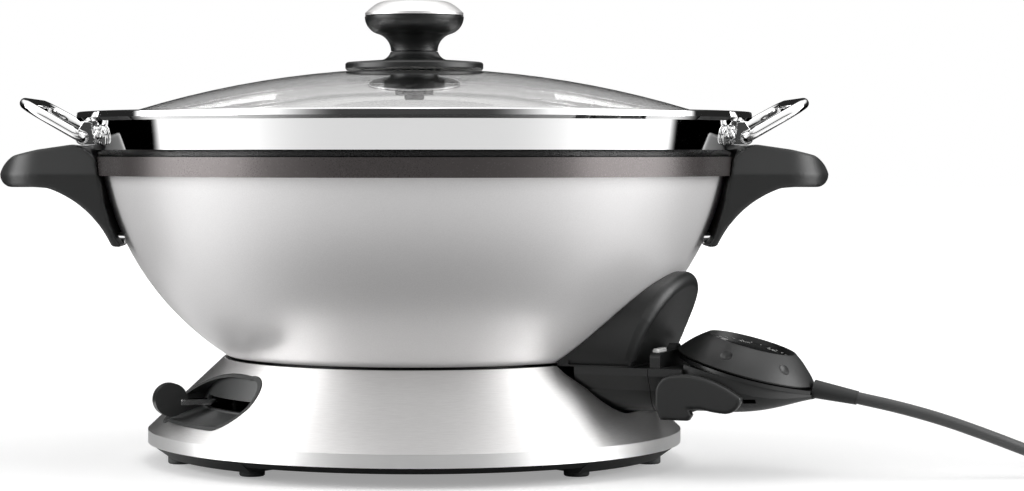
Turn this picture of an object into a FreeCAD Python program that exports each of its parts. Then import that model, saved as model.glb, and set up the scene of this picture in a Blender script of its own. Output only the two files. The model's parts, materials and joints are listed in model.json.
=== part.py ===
"""Electric wok: a heated pan on a locking base, with a steamer tray, a glass lid and a plug-in probe.

Millimetres, +Z up. The origin is on the pan's axis at the level the feet stand on, +X points at
the right-hand handle and -Y at the front. Azimuths are degrees from +X, counter-clockwise.
"""
import FreeCAD, Part
import math
import os

import Sketcher
from FreeCAD import Placement, Rotation, Vector

# Every driving dimension, by the group of pieces it shapes: {alias: value}.
DRIVING = {
    "fits and seats": {
        "running_gap": 0.05,  # radial, for anything that turns or slides in a bore
        "seat_gap": 0.3,  # between bodies that rest on each other or lift apart
        "sheet": 1.0,  # thickness of the pressed steel
        "shell": 2.4,  # thickness of the moulded shells
    },
    "pan": {
        "pan_bottom_z": 58.5,
        "pan_bottom_r": 104.0,
        "pan_shoulder_z": 157.7,
        "pan_shoulder_r": 172.0,
        "pan_wall_bend": 153.7,
        "pan_rim_r": 177.7,
        "pan_rim_top": 168.1,
        "pan_mouth_r": 171.6,
        "pan_floor_z": 62.5,
        "pan_floor_r": 60.0,
        "pan_inside_r": 169.0,
        "pan_inside_bend": 110.0,
        "foot_seat_z": 52.0,
        "foot_r": 91.0,
        "foot_inner_r": 72.0,
        "foot_wall": 3.0,
        "lug_wall": 4.0,
        "lug_low": 42.0,
        "tab_r": 83.0,
        "tab_top": 44.5,
        "tab_span": 13.0,
        "element_r": 62.0,
        "element_z": 56.2,
        "element_wire": 3.5,
        "element_gap": 9.0,
    },
    "base": {
        "plate_low": 7.2,
        "plate_taper": 6.8,  # how far the plate's underside is in from the skirt
        "plate_ledge_z": 10.8,
        "plate_thick": 2.5,
        "runner_low": 4.2,  # the plate stands deeper along its left and right sides
        "runner_taper": 9.8,
        "runner_in_r": 110.0,
        "runner_angle": 104.0,
        "skirt_r": 147.8,
        "skirt_band_top": 17.9,
        "skirt_top_z": 57.0,
        "skirt_top_r": 106.0,
        "foot_pad_r": 6.8,
        "foot_pad_inset": 26.8,  # front and back pads, in from the skirt
        "side_pad_inset": 16.8,
        "post_ring": 99.5,
        "post_r": 4.5,
        "post_start": 8.0,
        "boss_r": 7.0,
        "boss_top": 13.0,
        "screw_head_r": 3.6,
        "screw_r": 1.6,
        "ring_plate_low": 48.0,
        "ring_hole_r": 84.2,
        "ring_wall_r": 104.5,
        "ring_wall": 2.8,
    },
    "lock": {
        "recess_turn": -150.0,
        "lock_turn": -160.5,
        "lock_travel": 20.0,
        "lock_ring_low": 45.0,
        "lock_ring_thick": 2.4,
        "lock_ring_in": 86.0,
        "lock_ring_out": 94.5,
        "finger_r": 79.5,
        "slot_low": 31.9,
        "slot_high": 38.1,
        "arm_width": 9.0,
        "paddle_r": 9.0,
        "paddle_ring": 140.0,
        "paddle_z": 36.8,
        "paddle_thick": 7.0,
        "leaf_lip": 1.5,
    },
    "socket and probe": {
        "probe_turn": -22.0,
        "socket_half": 39.0,
        "socket_mid_half": 34.4,
        "socket_low_half": 28.0,
        "socket_low": 33.0,
        "socket_mid_z": 45.0,
        "socket_back": 107.0,
        "socket_front": 147.5,
        "notch_gap": 1.6,
        "hood_foot_x": 137.1,
        "hood_lip_x": 168.6,
        "hood_lip_z": 112.0,
        "hood_side_z": 84.0,
        "hood_side_half": 40.0,
        "hood_crown_z": 101.3,
        "hood_crown_half": 24.0,
        "pin_z": 45.0,
        "pin_side": 11.0,
        "pin_r": 2.4,
        "rod_r": 3.0,
        "neck_end": 166.0,
        "collar_top": 65.2,
        "collar_long": 5.6,
        "dial_x": 190.0,
        "dial_z": 56.0,
        "dial_tilt": 15.0,
        "dial_r": 37.4,
        "dial_top_r": 23.4,
        "dial_high": 13.7,
        "dial_recess": 2.4,
        "deck_drop": 3.0,
        "probe_tip_x": 227.0,
        "probe_tip_z": 43.8,
        "relief_start": 226.9,
        "relief_z": 45.9,
        "shaft_r": 3.0,
        "cord_r": 3.2,
        "relief_r": 4.9,
        "lever_pivot_x": 159.5,
        "lever_pivot_z": 48.5,
        "lever_pin_r": 1.5,
        "lever_thick": 5.2,
        "lever_round": 1.4,
    },
    "pan handles": {
        "grip_reach": 229.0,
        "grip_crown_z": 174.6,
        "grip_bend": 118.0,
        "grip_corner": 22.0,
        "grip_half": 55.0,
        "grip_lean": 20.0,  # how the walls lean in above the crease, in degrees
        "grip_foot_lean": 4.0,
        "finger_half": 35.0,
        "finger_near": 184.0,
        "finger_far": 211.0,
        "stud_z": 123.6,
        "stud_side": 30.0,
    },
    "tray": {
        "tray_floor_z": 140.0,
        "tray_floor_r": 138.0,
        "tray_seat_z": 168.4,
        "tray_low_z": 171.6,
        "tray_lean": 3.0,  # how much narrower the wall is at its foot
        "tray_top_z": 187.0,
        "tray_top_r": 180.0,
        "bead_out": 6.5,
        "bead_top": 192.2,
        "steam_hole_r": 2.6,
        "loop_wire": 2.94,
        "pivot_in": 1.0,
        "loop_pivot_z": 178.4,
        "loop_half": 50.0,
        "loop_reach": 37.0,
        "loop_lift": 30.0,
        "knuckle_near": 38.0,
        "knuckle_far": 45.0,
        "knuckle_r": 4.2,
    },
    "lid": {
        "glass_apex": 216.6,
        "glass_bend": 520.0,
        "glass_thick": 4.0,
        "band_gap": 0.6,  # from the lid's edge to the bead round it
        "band_width": 17.8,
        "vent_hole_x": 26.0,
        "vent_hole_r": 3.5,
        "vent_dial_r": 38.3,
        "vent_dial_top": 220.2,
        "knob_seam_z": 226.4,
        "knob_neck_r": 13.0,
        "knob_r": 27.5,
        "knob_edge_z": 245.5,
        "knob_top": 254.1,
        "clamp_r": 17.0,
        "clamp_low": 205.4,
        "star_r": 10.7,
        "star_low": 202.6,
        "head_r": 5.6,
        "head_low": 199.8,
        "lid_bolt_r": 3.0,
    },
}
LATHE_TOLERANCE = 1e-6

document = FreeCAD.newDocument("electric_wok")
sheet = document.addObject("Spreadsheet::Sheet", "Sizes")
nodes = {}


class Size:
    """A number together with the spreadsheet expression that it comes from."""

    def __init__(self, number, text):
        self.number = number
        self.text = text

    def _with(self, sign, other, swap=False):
        other = as_size(other)
        first, second = (other, self) if swap else (self, other)
        number = {
            "+": lambda: first.number + second.number,
            "-": lambda: first.number - second.number,
            "*": lambda: first.number * second.number,
            "/": lambda: first.number / second.number,
        }[sign]()
        return Size(number, f"({first.text} {sign} {second.text})")

    def __add__(self, other):
        return self._with("+", other)

    def __radd__(self, other):
        return self._with("+", other, swap=True)

    def __sub__(self, other):
        return self._with("-", other)

    def __rsub__(self, other):
        return self._with("-", other, swap=True)

    def __mul__(self, other):
        return self._with("*", other)

    def __rmul__(self, other):
        return self._with("*", other, swap=True)

    def __truediv__(self, other):
        return self._with("/", other)

    def __neg__(self):
        return Size(-self.number, f"(-1 * {self.text})")


def as_size(value):
    return value if isinstance(value, Size) else Size(float(value), repr(float(value)))


def cosine(angle):
    angle = as_size(angle)
    return Size(math.cos(math.radians(angle.number)), f"cos({angle.text})")


def sine(angle):
    angle = as_size(angle)
    return Size(math.sin(math.radians(angle.number)), f"sin({angle.text})")


def tangent(angle):
    angle = as_size(angle)
    return Size(math.tan(math.radians(angle.number)), f"tan({angle.text})")


def root(value):
    value = as_size(value)
    return Size(math.sqrt(value.number), f"sqrt({value.text})")


class Dimensions:
    """The driving dimensions as attributes: D.pan_rim_r is the Size of the cell with that alias."""

    def __init__(self, groups):
        row = 0
        for group, cells in groups.items():
            row += 1
            sheet.set(f"A{row}", group)
            for alias, value in cells.items():
                row += 1
                sheet.set(f"A{row}", alias)
                sheet.set(f"B{row}", repr(value))
                sheet.setAlias(f"B{row}", alias)
                setattr(self, alias, Size(value, f"Sizes.{alias}"))


D = Dimensions(DRIVING)
document.recompute()

# Radii that follow from the ones above: the tray's wall foot, its bead, the loops' pivots, the lid's
# edge and the plate's underside.
TRAY_LOW_R = D.tray_top_r - D.tray_lean
BEAD_R = D.tray_top_r + D.bead_out
BEAD_IN = BEAD_R - 2.9
LOOP_PIVOT_X = D.tray_top_r - D.pivot_in
BAND_R = BEAD_IN - D.band_gap
GLASS_R = BAND_R - D.band_width
PLATE_LOW_R = D.skirt_r - D.plate_taper


# ---- drawing and shaping ---------------------------------------------------------------------


def bind(target, name, size):
    """Give a property its number now and its expression for later."""
    size = as_size(size)
    holder, _, last = name.rpartition(".")
    if not holder:
        setattr(target, last, size.number)
    target.setExpression(name, size.text)


def place(target, x=0, y=0, z=0, turn=0, tilt=0, roll=0):
    """Stand an object at a point, rolled about its own X, tilted about its Y and then turned about Z."""
    x, y, z, turn, tilt, roll = (as_size(value) for value in (x, y, z, turn, tilt, roll))
    rotation = Rotation(turn.number, tilt.number, roll.number)
    target.Placement = Placement(Vector(x.number, y.number, z.number), rotation)
    target.setExpression(
        "Placement",
        f"create(<<placement>>; create(<<vector>>; {x.text}; {y.text}; {z.text});"
        f" create(<<rotation>>; {turn.text}; {tilt.text}; {roll.text}))",
    )
    return target


def arc_between(start, end, bend):
    """The arc from start to end with its centre to the left of the way, or right if bend is negative."""
    chord = end - start
    half = chord.Length / 2
    left = Vector(-chord.y, chord.x, 0).normalize()
    rise = math.sqrt(max(bend * bend - half * half, 0.0))
    centre = (start + end) / 2 + left * math.copysign(rise, bend)
    first, last = (start, end) if bend > 0 else (end, start)
    angles = [math.atan2(point.y - centre.y, point.x - centre.x) for point in (first, last)]
    if angles[1] < angles[0]:
        angles[1] += 2 * math.pi
    circle = Part.Circle(centre, Vector(0, 0, 1), abs(bend))
    return Part.ArcOfCircle(circle, angles[0], angles[1])


def fix_point(sketch, edge, end, axis, size):
    """Tie one coordinate of a point of the sketch to a size."""
    if abs(size.number) < LATHE_TOLERANCE:
        line = {"DistanceX": -2, "DistanceY": -1}[axis]
        sketch.addConstraint(Sketcher.Constraint("PointOnObject", edge, end, line))
        return
    index = sketch.addConstraint(Sketcher.Constraint(axis, -1, 1, edge, end, size.number))
    sketch.setExpression(f"Constraints[{index}]", size.text)


def draw_outline(sketch, corners):
    """Draw a closed outline. A corner is (x, y), or (x, y, bend) to leave it along an arc."""
    points = [(as_size(corner[0]), as_size(corner[1])) for corner in corners]
    bends = [as_size(corner[2]) if len(corner) > 2 else None for corner in corners]
    places = [Vector(x.number, y.number, 0) for x, y in points]
    first_edge = sketch.GeometryCount
    for index, bend in enumerate(bends):
        start, end = places[index], places[(index + 1) % len(places)]
        if bend is None:
            sketch.addGeometry(Part.LineSegment(start, end))
        else:
            sketch.addGeometry(arc_between(start, end, bend.number))

    def ends(index):
        bend = bends[index]
        return (2, 1) if bend is not None and bend.number < 0 else (1, 2)

    for index, bend in enumerate(bends):
        following = (index + 1) % len(bends)
        edge, next_edge = first_edge + index, first_edge + following
        sketch.addConstraint(
            Sketcher.Constraint("Coincident", edge, ends(index)[1], next_edge, ends(following)[0])
        )
        x, y = points[index]
        fix_point(sketch, edge, ends(index)[0], "DistanceX", x)
        fix_point(sketch, edge, ends(index)[0], "DistanceY", y)
        if bend is not None:
            size = as_size(bend if bend.number > 0 else -bend)
            row = sketch.addConstraint(Sketcher.Constraint("Radius", edge, size.number))
            sketch.setExpression(f"Constraints[{row}]", size.text)


def draw_circle(sketch, x, y, radius):
    x, y, radius = as_size(x), as_size(y), as_size(radius)
    edge = sketch.addGeometry(Part.Circle(Vector(x.number, y.number, 0), Vector(0, 0, 1), radius.number))
    row = sketch.addConstraint(Sketcher.Constraint("Radius", edge, radius.number))
    sketch.setExpression(f"Constraints[{row}]", radius.text)
    fix_point(sketch, edge, 3, "DistanceX", x)
    fix_point(sketch, edge, 3, "DistanceY", y)


def new_body(label):
    body = document.addObject("PartDesign::Body", label)
    body.Label = label
    return body


def new_sketch(body, plane, level=0):
    """A sketch on one of the body's own origin planes, moved along the plane's normal by level."""
    sketch = body.newObject("Sketcher::SketchObject", f"{body.Label}_sketch")
    support = [feature for feature in body.Origin.OriginFeatures if feature.Role == plane][0]
    sketch.AttachmentSupport = [(support, "")]
    sketch.MapMode = "FlatFace"
    level = as_size(level)
    if abs(level.number) > LATHE_TOLERANCE:
        sketch.AttachmentOffset = Placement(Vector(0, 0, level.number), Rotation())
        sketch.setExpression("AttachmentOffset.Base.z", level.text)
    return sketch


def revolve(body, corners, angle=360):
    """Turn an outline of (radius, height) corners about Z. A part turn is centred on the XZ plane."""
    sketch = new_sketch(body, "XZ_Plane")
    draw_outline(sketch, corners)
    feature = body.newObject("PartDesign::Revolution", f"{body.Label}_revolution")
    feature.Profile = sketch
    feature.ReferenceAxis = (sketch, ["V_Axis"])
    bind(feature, "Angle", angle)
    feature.Midplane = as_size(angle).number < 360
    return feature


def pad(body, plane, corners, length, level=0, both_ways=False):
    """Raise an outline off a plane by a length, or by half of it each way."""
    sketch = new_sketch(body, plane, level)
    draw_outline(sketch, corners)
    return raise_sketch(body, sketch, length, both_ways)


def raise_sketch(body, sketch, length, both_ways=False):
    feature = body.newObject("PartDesign::Pad", f"{body.Label}_pad")
    feature.Profile = sketch
    bind(feature, "Length", length)
    if both_ways:
        feature.SideType = "Symmetric"
    return feature


def disc(body, x, y, radius, length, level=0, plane="XY_Plane"):
    sketch = new_sketch(body, plane, level)
    draw_circle(sketch, x, y, radius)
    return raise_sketch(body, sketch, length)


def bore(body, plane, circles=(), outlines=(), depth=None, level=0, reverse=False):
    """Cut circles and outlines out of a body: right through both ways, or to a depth from a level."""
    sketch = new_sketch(body, plane, level)
    for x, y, radius in circles:
        draw_circle(sketch, x, y, radius)
    for outline in outlines:
        draw_outline(sketch, outline)
    feature = body.newObject("PartDesign::Pocket", f"{body.Label}_pocket")
    feature.Profile = sketch
    if depth is None:
        feature.Type = "ThroughAll"
        feature.SideType = "Symmetric"
    else:
        bind(feature, "Length", depth)
        feature.Reversed = reverse
    document.recompute()
    before, after = feature.BaseFeature.Shape.Volume, feature.Shape.Volume
    if after > before - LATHE_TOLERANCE:
        raise RuntimeError(f"{body.Label}: a cut takes nothing away")
    return feature


def soften(body, feature, side, level, radius):
    """Round every edge that lies flat at a level, which is YMin, YMax, ZMin and so on of its box."""
    document.recompute()
    opposite = side.replace("Min", "Max") if "Min" in side else side.replace("Max", "Min")
    names = []
    for index, edge in enumerate(feature.Shape.Edges):
        limits = edge.BoundBox
        if max(abs(getattr(limits, end) - level) for end in (side, opposite)) < 0.01:
            names.append(f"Edge{index + 1}")
    rounded = body.newObject("PartDesign::Fillet", f"{body.Label}_round")
    rounded.Base = (feature, names)
    bind(rounded, "Radius", radius)
    return rounded


def ring_of(body, features, count):
    """Repeat features evenly around Z."""
    pattern = body.newObject("PartDesign::PolarPattern", f"{body.Label}_pattern")
    pattern.Originals = features
    axis = [feature for feature in body.Origin.OriginFeatures if feature.Role == "Z_Axis"][0]
    pattern.Axis = (axis, [""])
    pattern.Angle = 360
    pattern.Occurrences = count
    body.Tip = pattern
    return pattern


def boolean(kind, label, base, tool):
    result = document.addObject(f"Part::{kind}", label)
    result.Label = label
    result.Base = base
    result.Tool = tool
    return result


def fuse_all(label, pieces):
    result = document.addObject("Part::MultiFuse", label)
    result.Label = label
    result.Shapes = pieces
    return result


def group(label, pieces):
    """Identical separate pieces, or a piece and its twins, kept as one node."""
    result = document.addObject("Part::Compound", label)
    result.Label = label
    result.Links = pieces
    return result


def cylinder(label, radius, height, **where):
    piece = document.addObject("Part::Cylinder", label)
    bind(piece, "Radius", radius)
    bind(piece, "Height", height)
    return place(piece, **where)


def box(label, length, width, height, **where):
    piece = document.addObject("Part::Box", label)
    bind(piece, "Length", length)
    bind(piece, "Width", width)
    bind(piece, "Height", height)
    return place(piece, **where)


def keep(node):
    """Mark an object as a finished sub-part, to be exported under its label."""
    nodes[node.Label] = node
    return node


def around(radius, turn, x=0, y=0):
    """The point x further out and y to the left of the one at a radius and an azimuth."""
    along = as_size(radius) + x
    return (
        along * cosine(turn) - as_size(y) * sine(turn),
        along * sine(turn) + as_size(y) * cosine(turn),
    )


# ---- pan ---------------------------------------------------------------------------------------


def pan_outside(grow=0):
    """The pan's outer profile from the axis to the top of the rim, moved outward by grow."""
    return [
        (0, D.pan_bottom_z - grow),
        (D.pan_bottom_r + grow * 0.6, D.pan_bottom_z - grow, D.pan_wall_bend + grow),
        (D.pan_shoulder_r + grow, D.pan_shoulder_z - grow),
        (D.pan_rim_r + grow, D.pan_shoulder_z - grow),
        (D.pan_rim_r + grow, D.pan_rim_top),
    ]


def make_pan():
    pan = new_body("wok_pan")
    inside = [
        (D.pan_mouth_r, D.pan_rim_top),
        (D.pan_inside_r, D.pan_shoulder_z, -D.pan_inside_bend),
        (D.pan_floor_r, D.pan_floor_z),
        (0, D.pan_floor_z),
    ]
    revolve(pan, pan_outside() + inside)
    keep(pan)


def make_locking_foot():
    """A ring under the pan with three lugs that the lock ring's fingers catch."""
    foot = new_body("locking_foot_blank")
    flange_top = D.foot_seat_z + 2
    revolve(
        foot,
        [
            (D.foot_inner_r, D.foot_seat_z),
            (D.foot_r, D.foot_seat_z),
            (D.foot_r, D.pan_bottom_z),
            (D.foot_r - D.foot_wall, D.pan_bottom_z),
            (D.foot_r - D.foot_wall, flange_top),
            (D.foot_inner_r, flange_top),
        ],
    )
    lug_out = D.foot_inner_r + D.lug_wall
    lug = revolve(
        foot,
        [
            (D.foot_inner_r, flange_top),
            (D.foot_inner_r, D.lug_low),
            (D.tab_r, D.lug_low),
            (D.tab_r, D.tab_top),
            (lug_out, D.tab_top),
            (lug_out, flange_top),
        ],
        angle=D.tab_span,
    )
    ring_of(foot, [lug], 3)
    gap_x, gap_y = around(D.foot_inner_r, D.probe_turn, x=-6, y=-2 * D.element_gap)
    leads = box(
        "lead_gap",
        length=D.foot_r,
        width=4 * D.element_gap,
        height=D.pan_bottom_z,
        x=gap_x,
        y=gap_y,
        z=D.foot_seat_z - 1,
        turn=D.probe_turn,
    )
    keep(boolean("Cut", "locking_foot", foot, leads))


def make_element():
    """The heating element: an open ring under the pan floor with two leads to the socket."""
    opening = 8.0
    ring = document.addObject("Part::Torus", "element_ring")
    bind(ring, "Radius1", D.element_r)
    bind(ring, "Radius2", D.element_wire)
    bind(ring, "Angle3", 360 - 2 * as_size(opening))
    place(ring, z=D.element_z, turn=D.probe_turn + opening)
    start = D.element_r * cosine(opening)
    side = D.element_r * sine(opening)
    leads = []
    for index, sign in enumerate((1, -1)):
        x, y = around(start, D.probe_turn, y=sign * side)
        lead = cylinder(
            f"element_lead_{index}",
            D.element_wire,
            D.socket_back + D.seat_gap - start,
            x=x,
            y=y,
            z=D.element_z,
            turn=D.probe_turn,
            tilt=90,
        )
        knee = document.addObject("Part::Sphere", f"element_knee_{index}")
        bind(knee, "Radius", D.element_wire)
        leads += [lead, place(knee, x=x, y=y, z=D.element_z)]
    keep(fuse_all("heating_element", [ring] + leads))


# ---- base --------------------------------------------------------------------------------------


def skirt_radius(height):
    """Outer radius of the skirt's cone at a height."""
    slope = (D.skirt_r - D.skirt_top_r) / (D.skirt_top_z - D.skirt_band_top)
    return D.skirt_r - (as_size(height) - D.skirt_band_top) * slope


def socket_outline(grow=0, top=None):
    """The socket's U-shaped section as (side, height) corners, widened by grow."""
    return [
        (D.socket_half + grow, top or D.skirt_top_z),
        (-(D.socket_half + grow), top or D.skirt_top_z),
        (-(D.socket_half + grow), D.skirt_top_z - 4),
        (-(D.socket_mid_half + grow), D.socket_mid_z, 14),
        (-(D.socket_low_half - 8 + grow), D.socket_low - grow),
        (D.socket_low_half - 8 + grow, D.socket_low - grow, 14),
        (D.socket_mid_half + grow, D.socket_mid_z),
        (D.socket_half + grow, D.skirt_top_z - 4),
    ]


def leaf_outline(inset=0):
    """The lever recess as (side, height) corners: a leaf with a rounded right-hand end."""
    return [
        (-28 + inset, 24.6 + inset),
        (26.0, 24.2 + inset, 15 - inset),
        (38.5 - inset, 37.0, 17 - inset),
        (19.0, 51.4 - inset, 120 - inset),
        (-44 + inset, 40 - inset, 12 - inset),
    ]


def make_base_plate():
    plate = new_body("base_plate")
    wall_out = D.skirt_r - D.sheet - D.seat_gap
    floor_top = D.plate_low + D.plate_thick
    revolve(
        plate,
        [
            (0, D.plate_low),
            (PLATE_LOW_R, D.plate_low),
            (D.skirt_r - 0.8, D.plate_ledge_z),
            (wall_out, D.plate_ledge_z),
            (wall_out, D.skirt_band_top - 1.5),
            (wall_out - D.plate_thick, D.skirt_band_top - 1.5),
            (wall_out - D.plate_thick, D.plate_ledge_z + 0.6),
            (PLATE_LOW_R - 1.2, floor_top),
            (0, floor_top),
        ],
    )
    runner = revolve(
        plate,
        [
            (D.runner_in_r, D.plate_low + 1),
            (D.runner_in_r, D.runner_low),
            (D.skirt_r - D.runner_taper, D.runner_low),
            (D.skirt_r - 0.8, D.plate_ledge_z),
            (PLATE_LOW_R, D.plate_low + 1),
        ],
        D.runner_angle,
    )
    ring_of(plate, [runner], 2)
    boss_x, boss_y = around(D.post_ring, D.post_start)
    boss = disc(plate, boss_x, boss_y, D.boss_r, D.boss_top - D.plate_low, level=D.plate_low)
    ring_of(plate, [boss], 6)
    head = bore(
        plate,
        "XY_Plane",
        circles=[(boss_x, boss_y, D.screw_head_r + D.seat_gap)],
        depth=3.2,
        level=D.plate_low,
        reverse=True,
    )
    hole = bore(plate, "XY_Plane", circles=[(boss_x, boss_y, D.screw_r + D.running_gap)])
    ring_of(plate, [head, hole], 6)
    vent = bore(plate, "XY_Plane", outlines=[[(48, -2), (74, -2, 3), (74, 2), (48, 2, 3)]])
    ring_of(plate, [vent], 12)
    notch_deep, notch_half = 4.0, 2.4
    notches = []
    for turn in (-115.7, -64.3, 64.3, 115.7):
        ends = [(-notch_deep, -notch_half), (4, -notch_half), (4, notch_half)]
        ends.append((-notch_deep, notch_half))
        notches.append([around(wall_out, turn, x=out, y=side) for out, side in ends])
    rim_low = D.plate_low + D.plate_thick
    bore(plate, "XY_Plane", outlines=notches, depth=D.plate_ledge_z, level=rim_low, reverse=True)
    keep(plate)


def make_feet():
    """Eight rubber pads with a softened lower edge, in mirrored pairs."""
    pads = []
    for inset, angle in ((D.foot_pad_inset, 45.1), (D.side_pad_inset, 12.1)):
        for turn in (angle, -angle, 180 - angle, 180 + angle):
            x, y = around(D.skirt_r - inset, turn)
            pad_body = new_body(f"foot_pad_{len(pads)}")
            edge = 1.2
            revolve(
                pad_body,
                [
                    (0, 0),
                    (D.foot_pad_r - edge, 0, edge * 1.01),
                    (D.foot_pad_r, edge),
                    (D.foot_pad_r, D.runner_low),
                    (0, D.runner_low),
                ],
            )
            pads.append(place(pad_body, x=x, y=y))
    keep(group("rubber_feet", pads))


def make_support_ring():
    """The ring that the pan's foot stands on, with six posts down to the base plate."""
    ring = new_body("support_ring_blank")
    wall_in = D.ring_wall_r - D.ring_wall
    revolve(
        ring,
        [
            (D.ring_hole_r, D.ring_plate_low),
            (D.ring_wall_r, D.ring_plate_low),
            (D.ring_wall_r, D.skirt_top_z),
            (wall_in, D.skirt_top_z),
            (wall_in, D.foot_seat_z),
            (D.ring_hole_r, D.foot_seat_z),
        ],
    )
    post_x, post_y = around(D.post_ring, D.post_start)
    post = disc(ring, post_x, post_y, D.post_r, D.ring_plate_low - D.boss_top + 1, level=D.boss_top)
    ring_of(ring, [post], 6)
    screw_hole = bore(
        ring,
        "XY_Plane",
        circles=[(post_x, post_y, D.screw_r)],
        depth=14,
        level=D.boss_top,
        reverse=True,
    )
    ring_of(ring, [screw_hole], 6)
    ledges = []
    ledge_low, ledge_top = D.lock_ring_low - 4, D.lock_ring_low - D.seat_gap
    for index in range(6):
        turn = D.post_start + 60 * index
        x, y = around(D.lock_ring_in + 3, turn, y=-3)
        ledges.append(
            box(
                f"ring_ledge_{index}",
                length=D.post_ring - D.lock_ring_in - 6,
                width=6,
                height=ledge_top - ledge_low,
                x=x,
                y=y,
                z=ledge_low,
                turn=turn,
            )
        )
    whole = fuse_all("support_ring_fused", [ring] + ledges)
    gap_x, gap_y = around(D.ring_hole_r, D.probe_turn, x=10, y=-2 * D.element_gap)
    gap = box(
        "ring_lead_gap",
        length=20,
        width=4 * D.element_gap,
        height=20,
        x=gap_x,
        y=gap_y,
        z=D.foot_seat_z - 1,
        turn=D.probe_turn,
    )
    keep(boolean("Cut", "support_ring", whole, gap))


def make_base_screws():
    screws = []
    for index in range(6):
        x, y = around(D.post_ring, D.post_start + 60 * index)
        low = D.plate_low + 1.0
        head = cylinder(f"screw_head_{index}", D.screw_head_r, 2.2, x=x, y=y, z=low)
        shank = cylinder(f"screw_shank_{index}", D.screw_r, 16, x=x, y=y, z=low + 2.2)
        screws.append(fuse_all(f"base_screw_{index}", [head, shank]))
    keep(group("base_screws", screws))


def make_skirt():
    """The brushed cone over the base, open at the socket and at the lever recess."""
    blank = new_body("skirt_blank")
    thickness = D.sheet * 1.52
    top_in = D.ring_wall_r + D.seat_gap
    revolve(
        blank,
        [
            (D.skirt_r - D.sheet, D.plate_ledge_z),
            (D.skirt_r, D.plate_ledge_z),
            (D.skirt_r, D.skirt_band_top),
            (D.skirt_top_r, D.skirt_top_z),
            (top_in, D.skirt_top_z),
            (top_in, D.skirt_top_z - D.sheet),
            (skirt_radius(D.skirt_top_z - D.sheet) - thickness, D.skirt_top_z - D.sheet),
            (D.skirt_r - D.sheet, D.skirt_band_top - 0.45),
        ],
    )
    notch = new_body("notch_tool")
    pad(notch, "YZ_Plane", socket_outline(grow=D.notch_gap, top=D.skirt_top_z + 6), 170)
    place(notch, turn=D.probe_turn)
    leaf = new_body("leaf_tool")
    pad(leaf, "YZ_Plane", leaf_outline(), 170)
    place(leaf, turn=D.recess_turn)
    notched = boolean("Cut", "skirt_notched", blank, notch)
    keep(boolean("Cut", "base_skirt", notched, leaf))


def make_lever_bezel():
    """The moulded pocket behind the lever: a leaf-shaped rim, an upright back and a sloping sill."""
    rim_proud = 0.5
    back = D.slot_low
    outer = new_body("bezel_leaf")
    pad(outer, "YZ_Plane", leaf_outline(inset=0.25), 170)
    place(outer, turn=D.recess_turn)
    inner = new_body("bezel_inner_leaf")
    pad(inner, "YZ_Plane", leaf_outline(inset=D.leaf_lip + 0.25), 170)
    place(inner, turn=D.recess_turn)
    mass = new_body("bezel_mass")
    low, high, wall = 20, 52, 2.0
    back_top = skirt_radius(high) - 0.3
    back_middle = skirt_radius(D.slot_high) - 12.4
    sill_back = skirt_radius(back) - 17.2
    revolve(
        mass,
        [
            (back_top, high),
            (back_middle, D.slot_high),
            (sill_back, back - 1.8),
            (skirt_radius(low) - 11.5, low),
            (skirt_radius(low) + rim_proud, low),
            (skirt_radius(high) + rim_proud, high),
        ],
    )
    hollow = new_body("bezel_hollow")
    revolve(
        hollow,
        [
            (back_top + wall - 1.0, high),
            (back_middle + wall, D.slot_high),
            (sill_back + wall + 1.0, back - 0.9),
            (skirt_radius(24.6) - 1.0, 24.6),
            (160, 24.6),
            (160, high),
        ],
    )
    slot = new_body("bezel_slot")
    sill, head = D.slot_low, D.slot_high
    revolve(slot, [(100, sill), (124, sill), (124, head), (100, head)], angle=32)
    place(slot, turn=D.recess_turn + 0.5)
    shell = boolean("Common", "bezel_shell", mass, outer)
    pocket = boolean("Common", "bezel_pocket", hollow, inner)
    open_shell = boolean("Cut", "bezel_open", shell, pocket)
    keep(boolean("Cut", "lever_bezel", open_shell, slot))


def make_lock():
    """The lock ring with its fingers, the steel lever arm and the paddle that a thumb pushes."""
    ring = new_body("lock_ring")
    top = D.lock_ring_low + D.lock_ring_thick
    revolve(
        ring,
        [
            (D.lock_ring_in, D.lock_ring_low),
            (D.lock_ring_out, D.lock_ring_low),
            (D.lock_ring_out, top),
            (D.lock_ring_in, top),
        ],
    )
    finger = revolve(
        ring,
        [
            (D.finger_r, D.lock_ring_low),
            (D.lock_ring_in + 1, D.lock_ring_low),
            (D.lock_ring_in + 1, top),
            (D.finger_r, top),
        ],
        angle=D.tab_span,
    )
    ring_of(ring, [finger], 3)
    place(ring, turn=-D.lock_travel)
    keep(ring)

    arm = new_body("lock_lever_arm")
    arm_low, arm_high = D.paddle_z - 3, D.paddle_z
    pad(
        arm,
        "XZ_Plane",
        [
            (D.lock_ring_out - 2.5, D.lock_ring_low),
            (101, D.lock_ring_low),
            (106.5, arm_low),
            (D.paddle_ring - 5, arm_low),
            (D.paddle_ring - 5, arm_high),
            (109, arm_high),
            (103.5, top),
            (D.lock_ring_out - 2.5, top),
        ],
        D.arm_width,
        both_ways=True,
    )
    place(arm, turn=D.lock_turn)
    keep(arm)

    paddle = new_body("lock_lever_paddle")
    sketch = new_sketch(paddle, "XZ_Plane")
    draw_circle(sketch, D.paddle_ring, D.paddle_z, D.paddle_r)
    raise_sketch(paddle, sketch, D.paddle_thick, both_ways=True)
    place(paddle, turn=D.lock_turn)
    keep(paddle)


# ---- socket and hood -----------------------------------------------------------------------------


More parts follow.
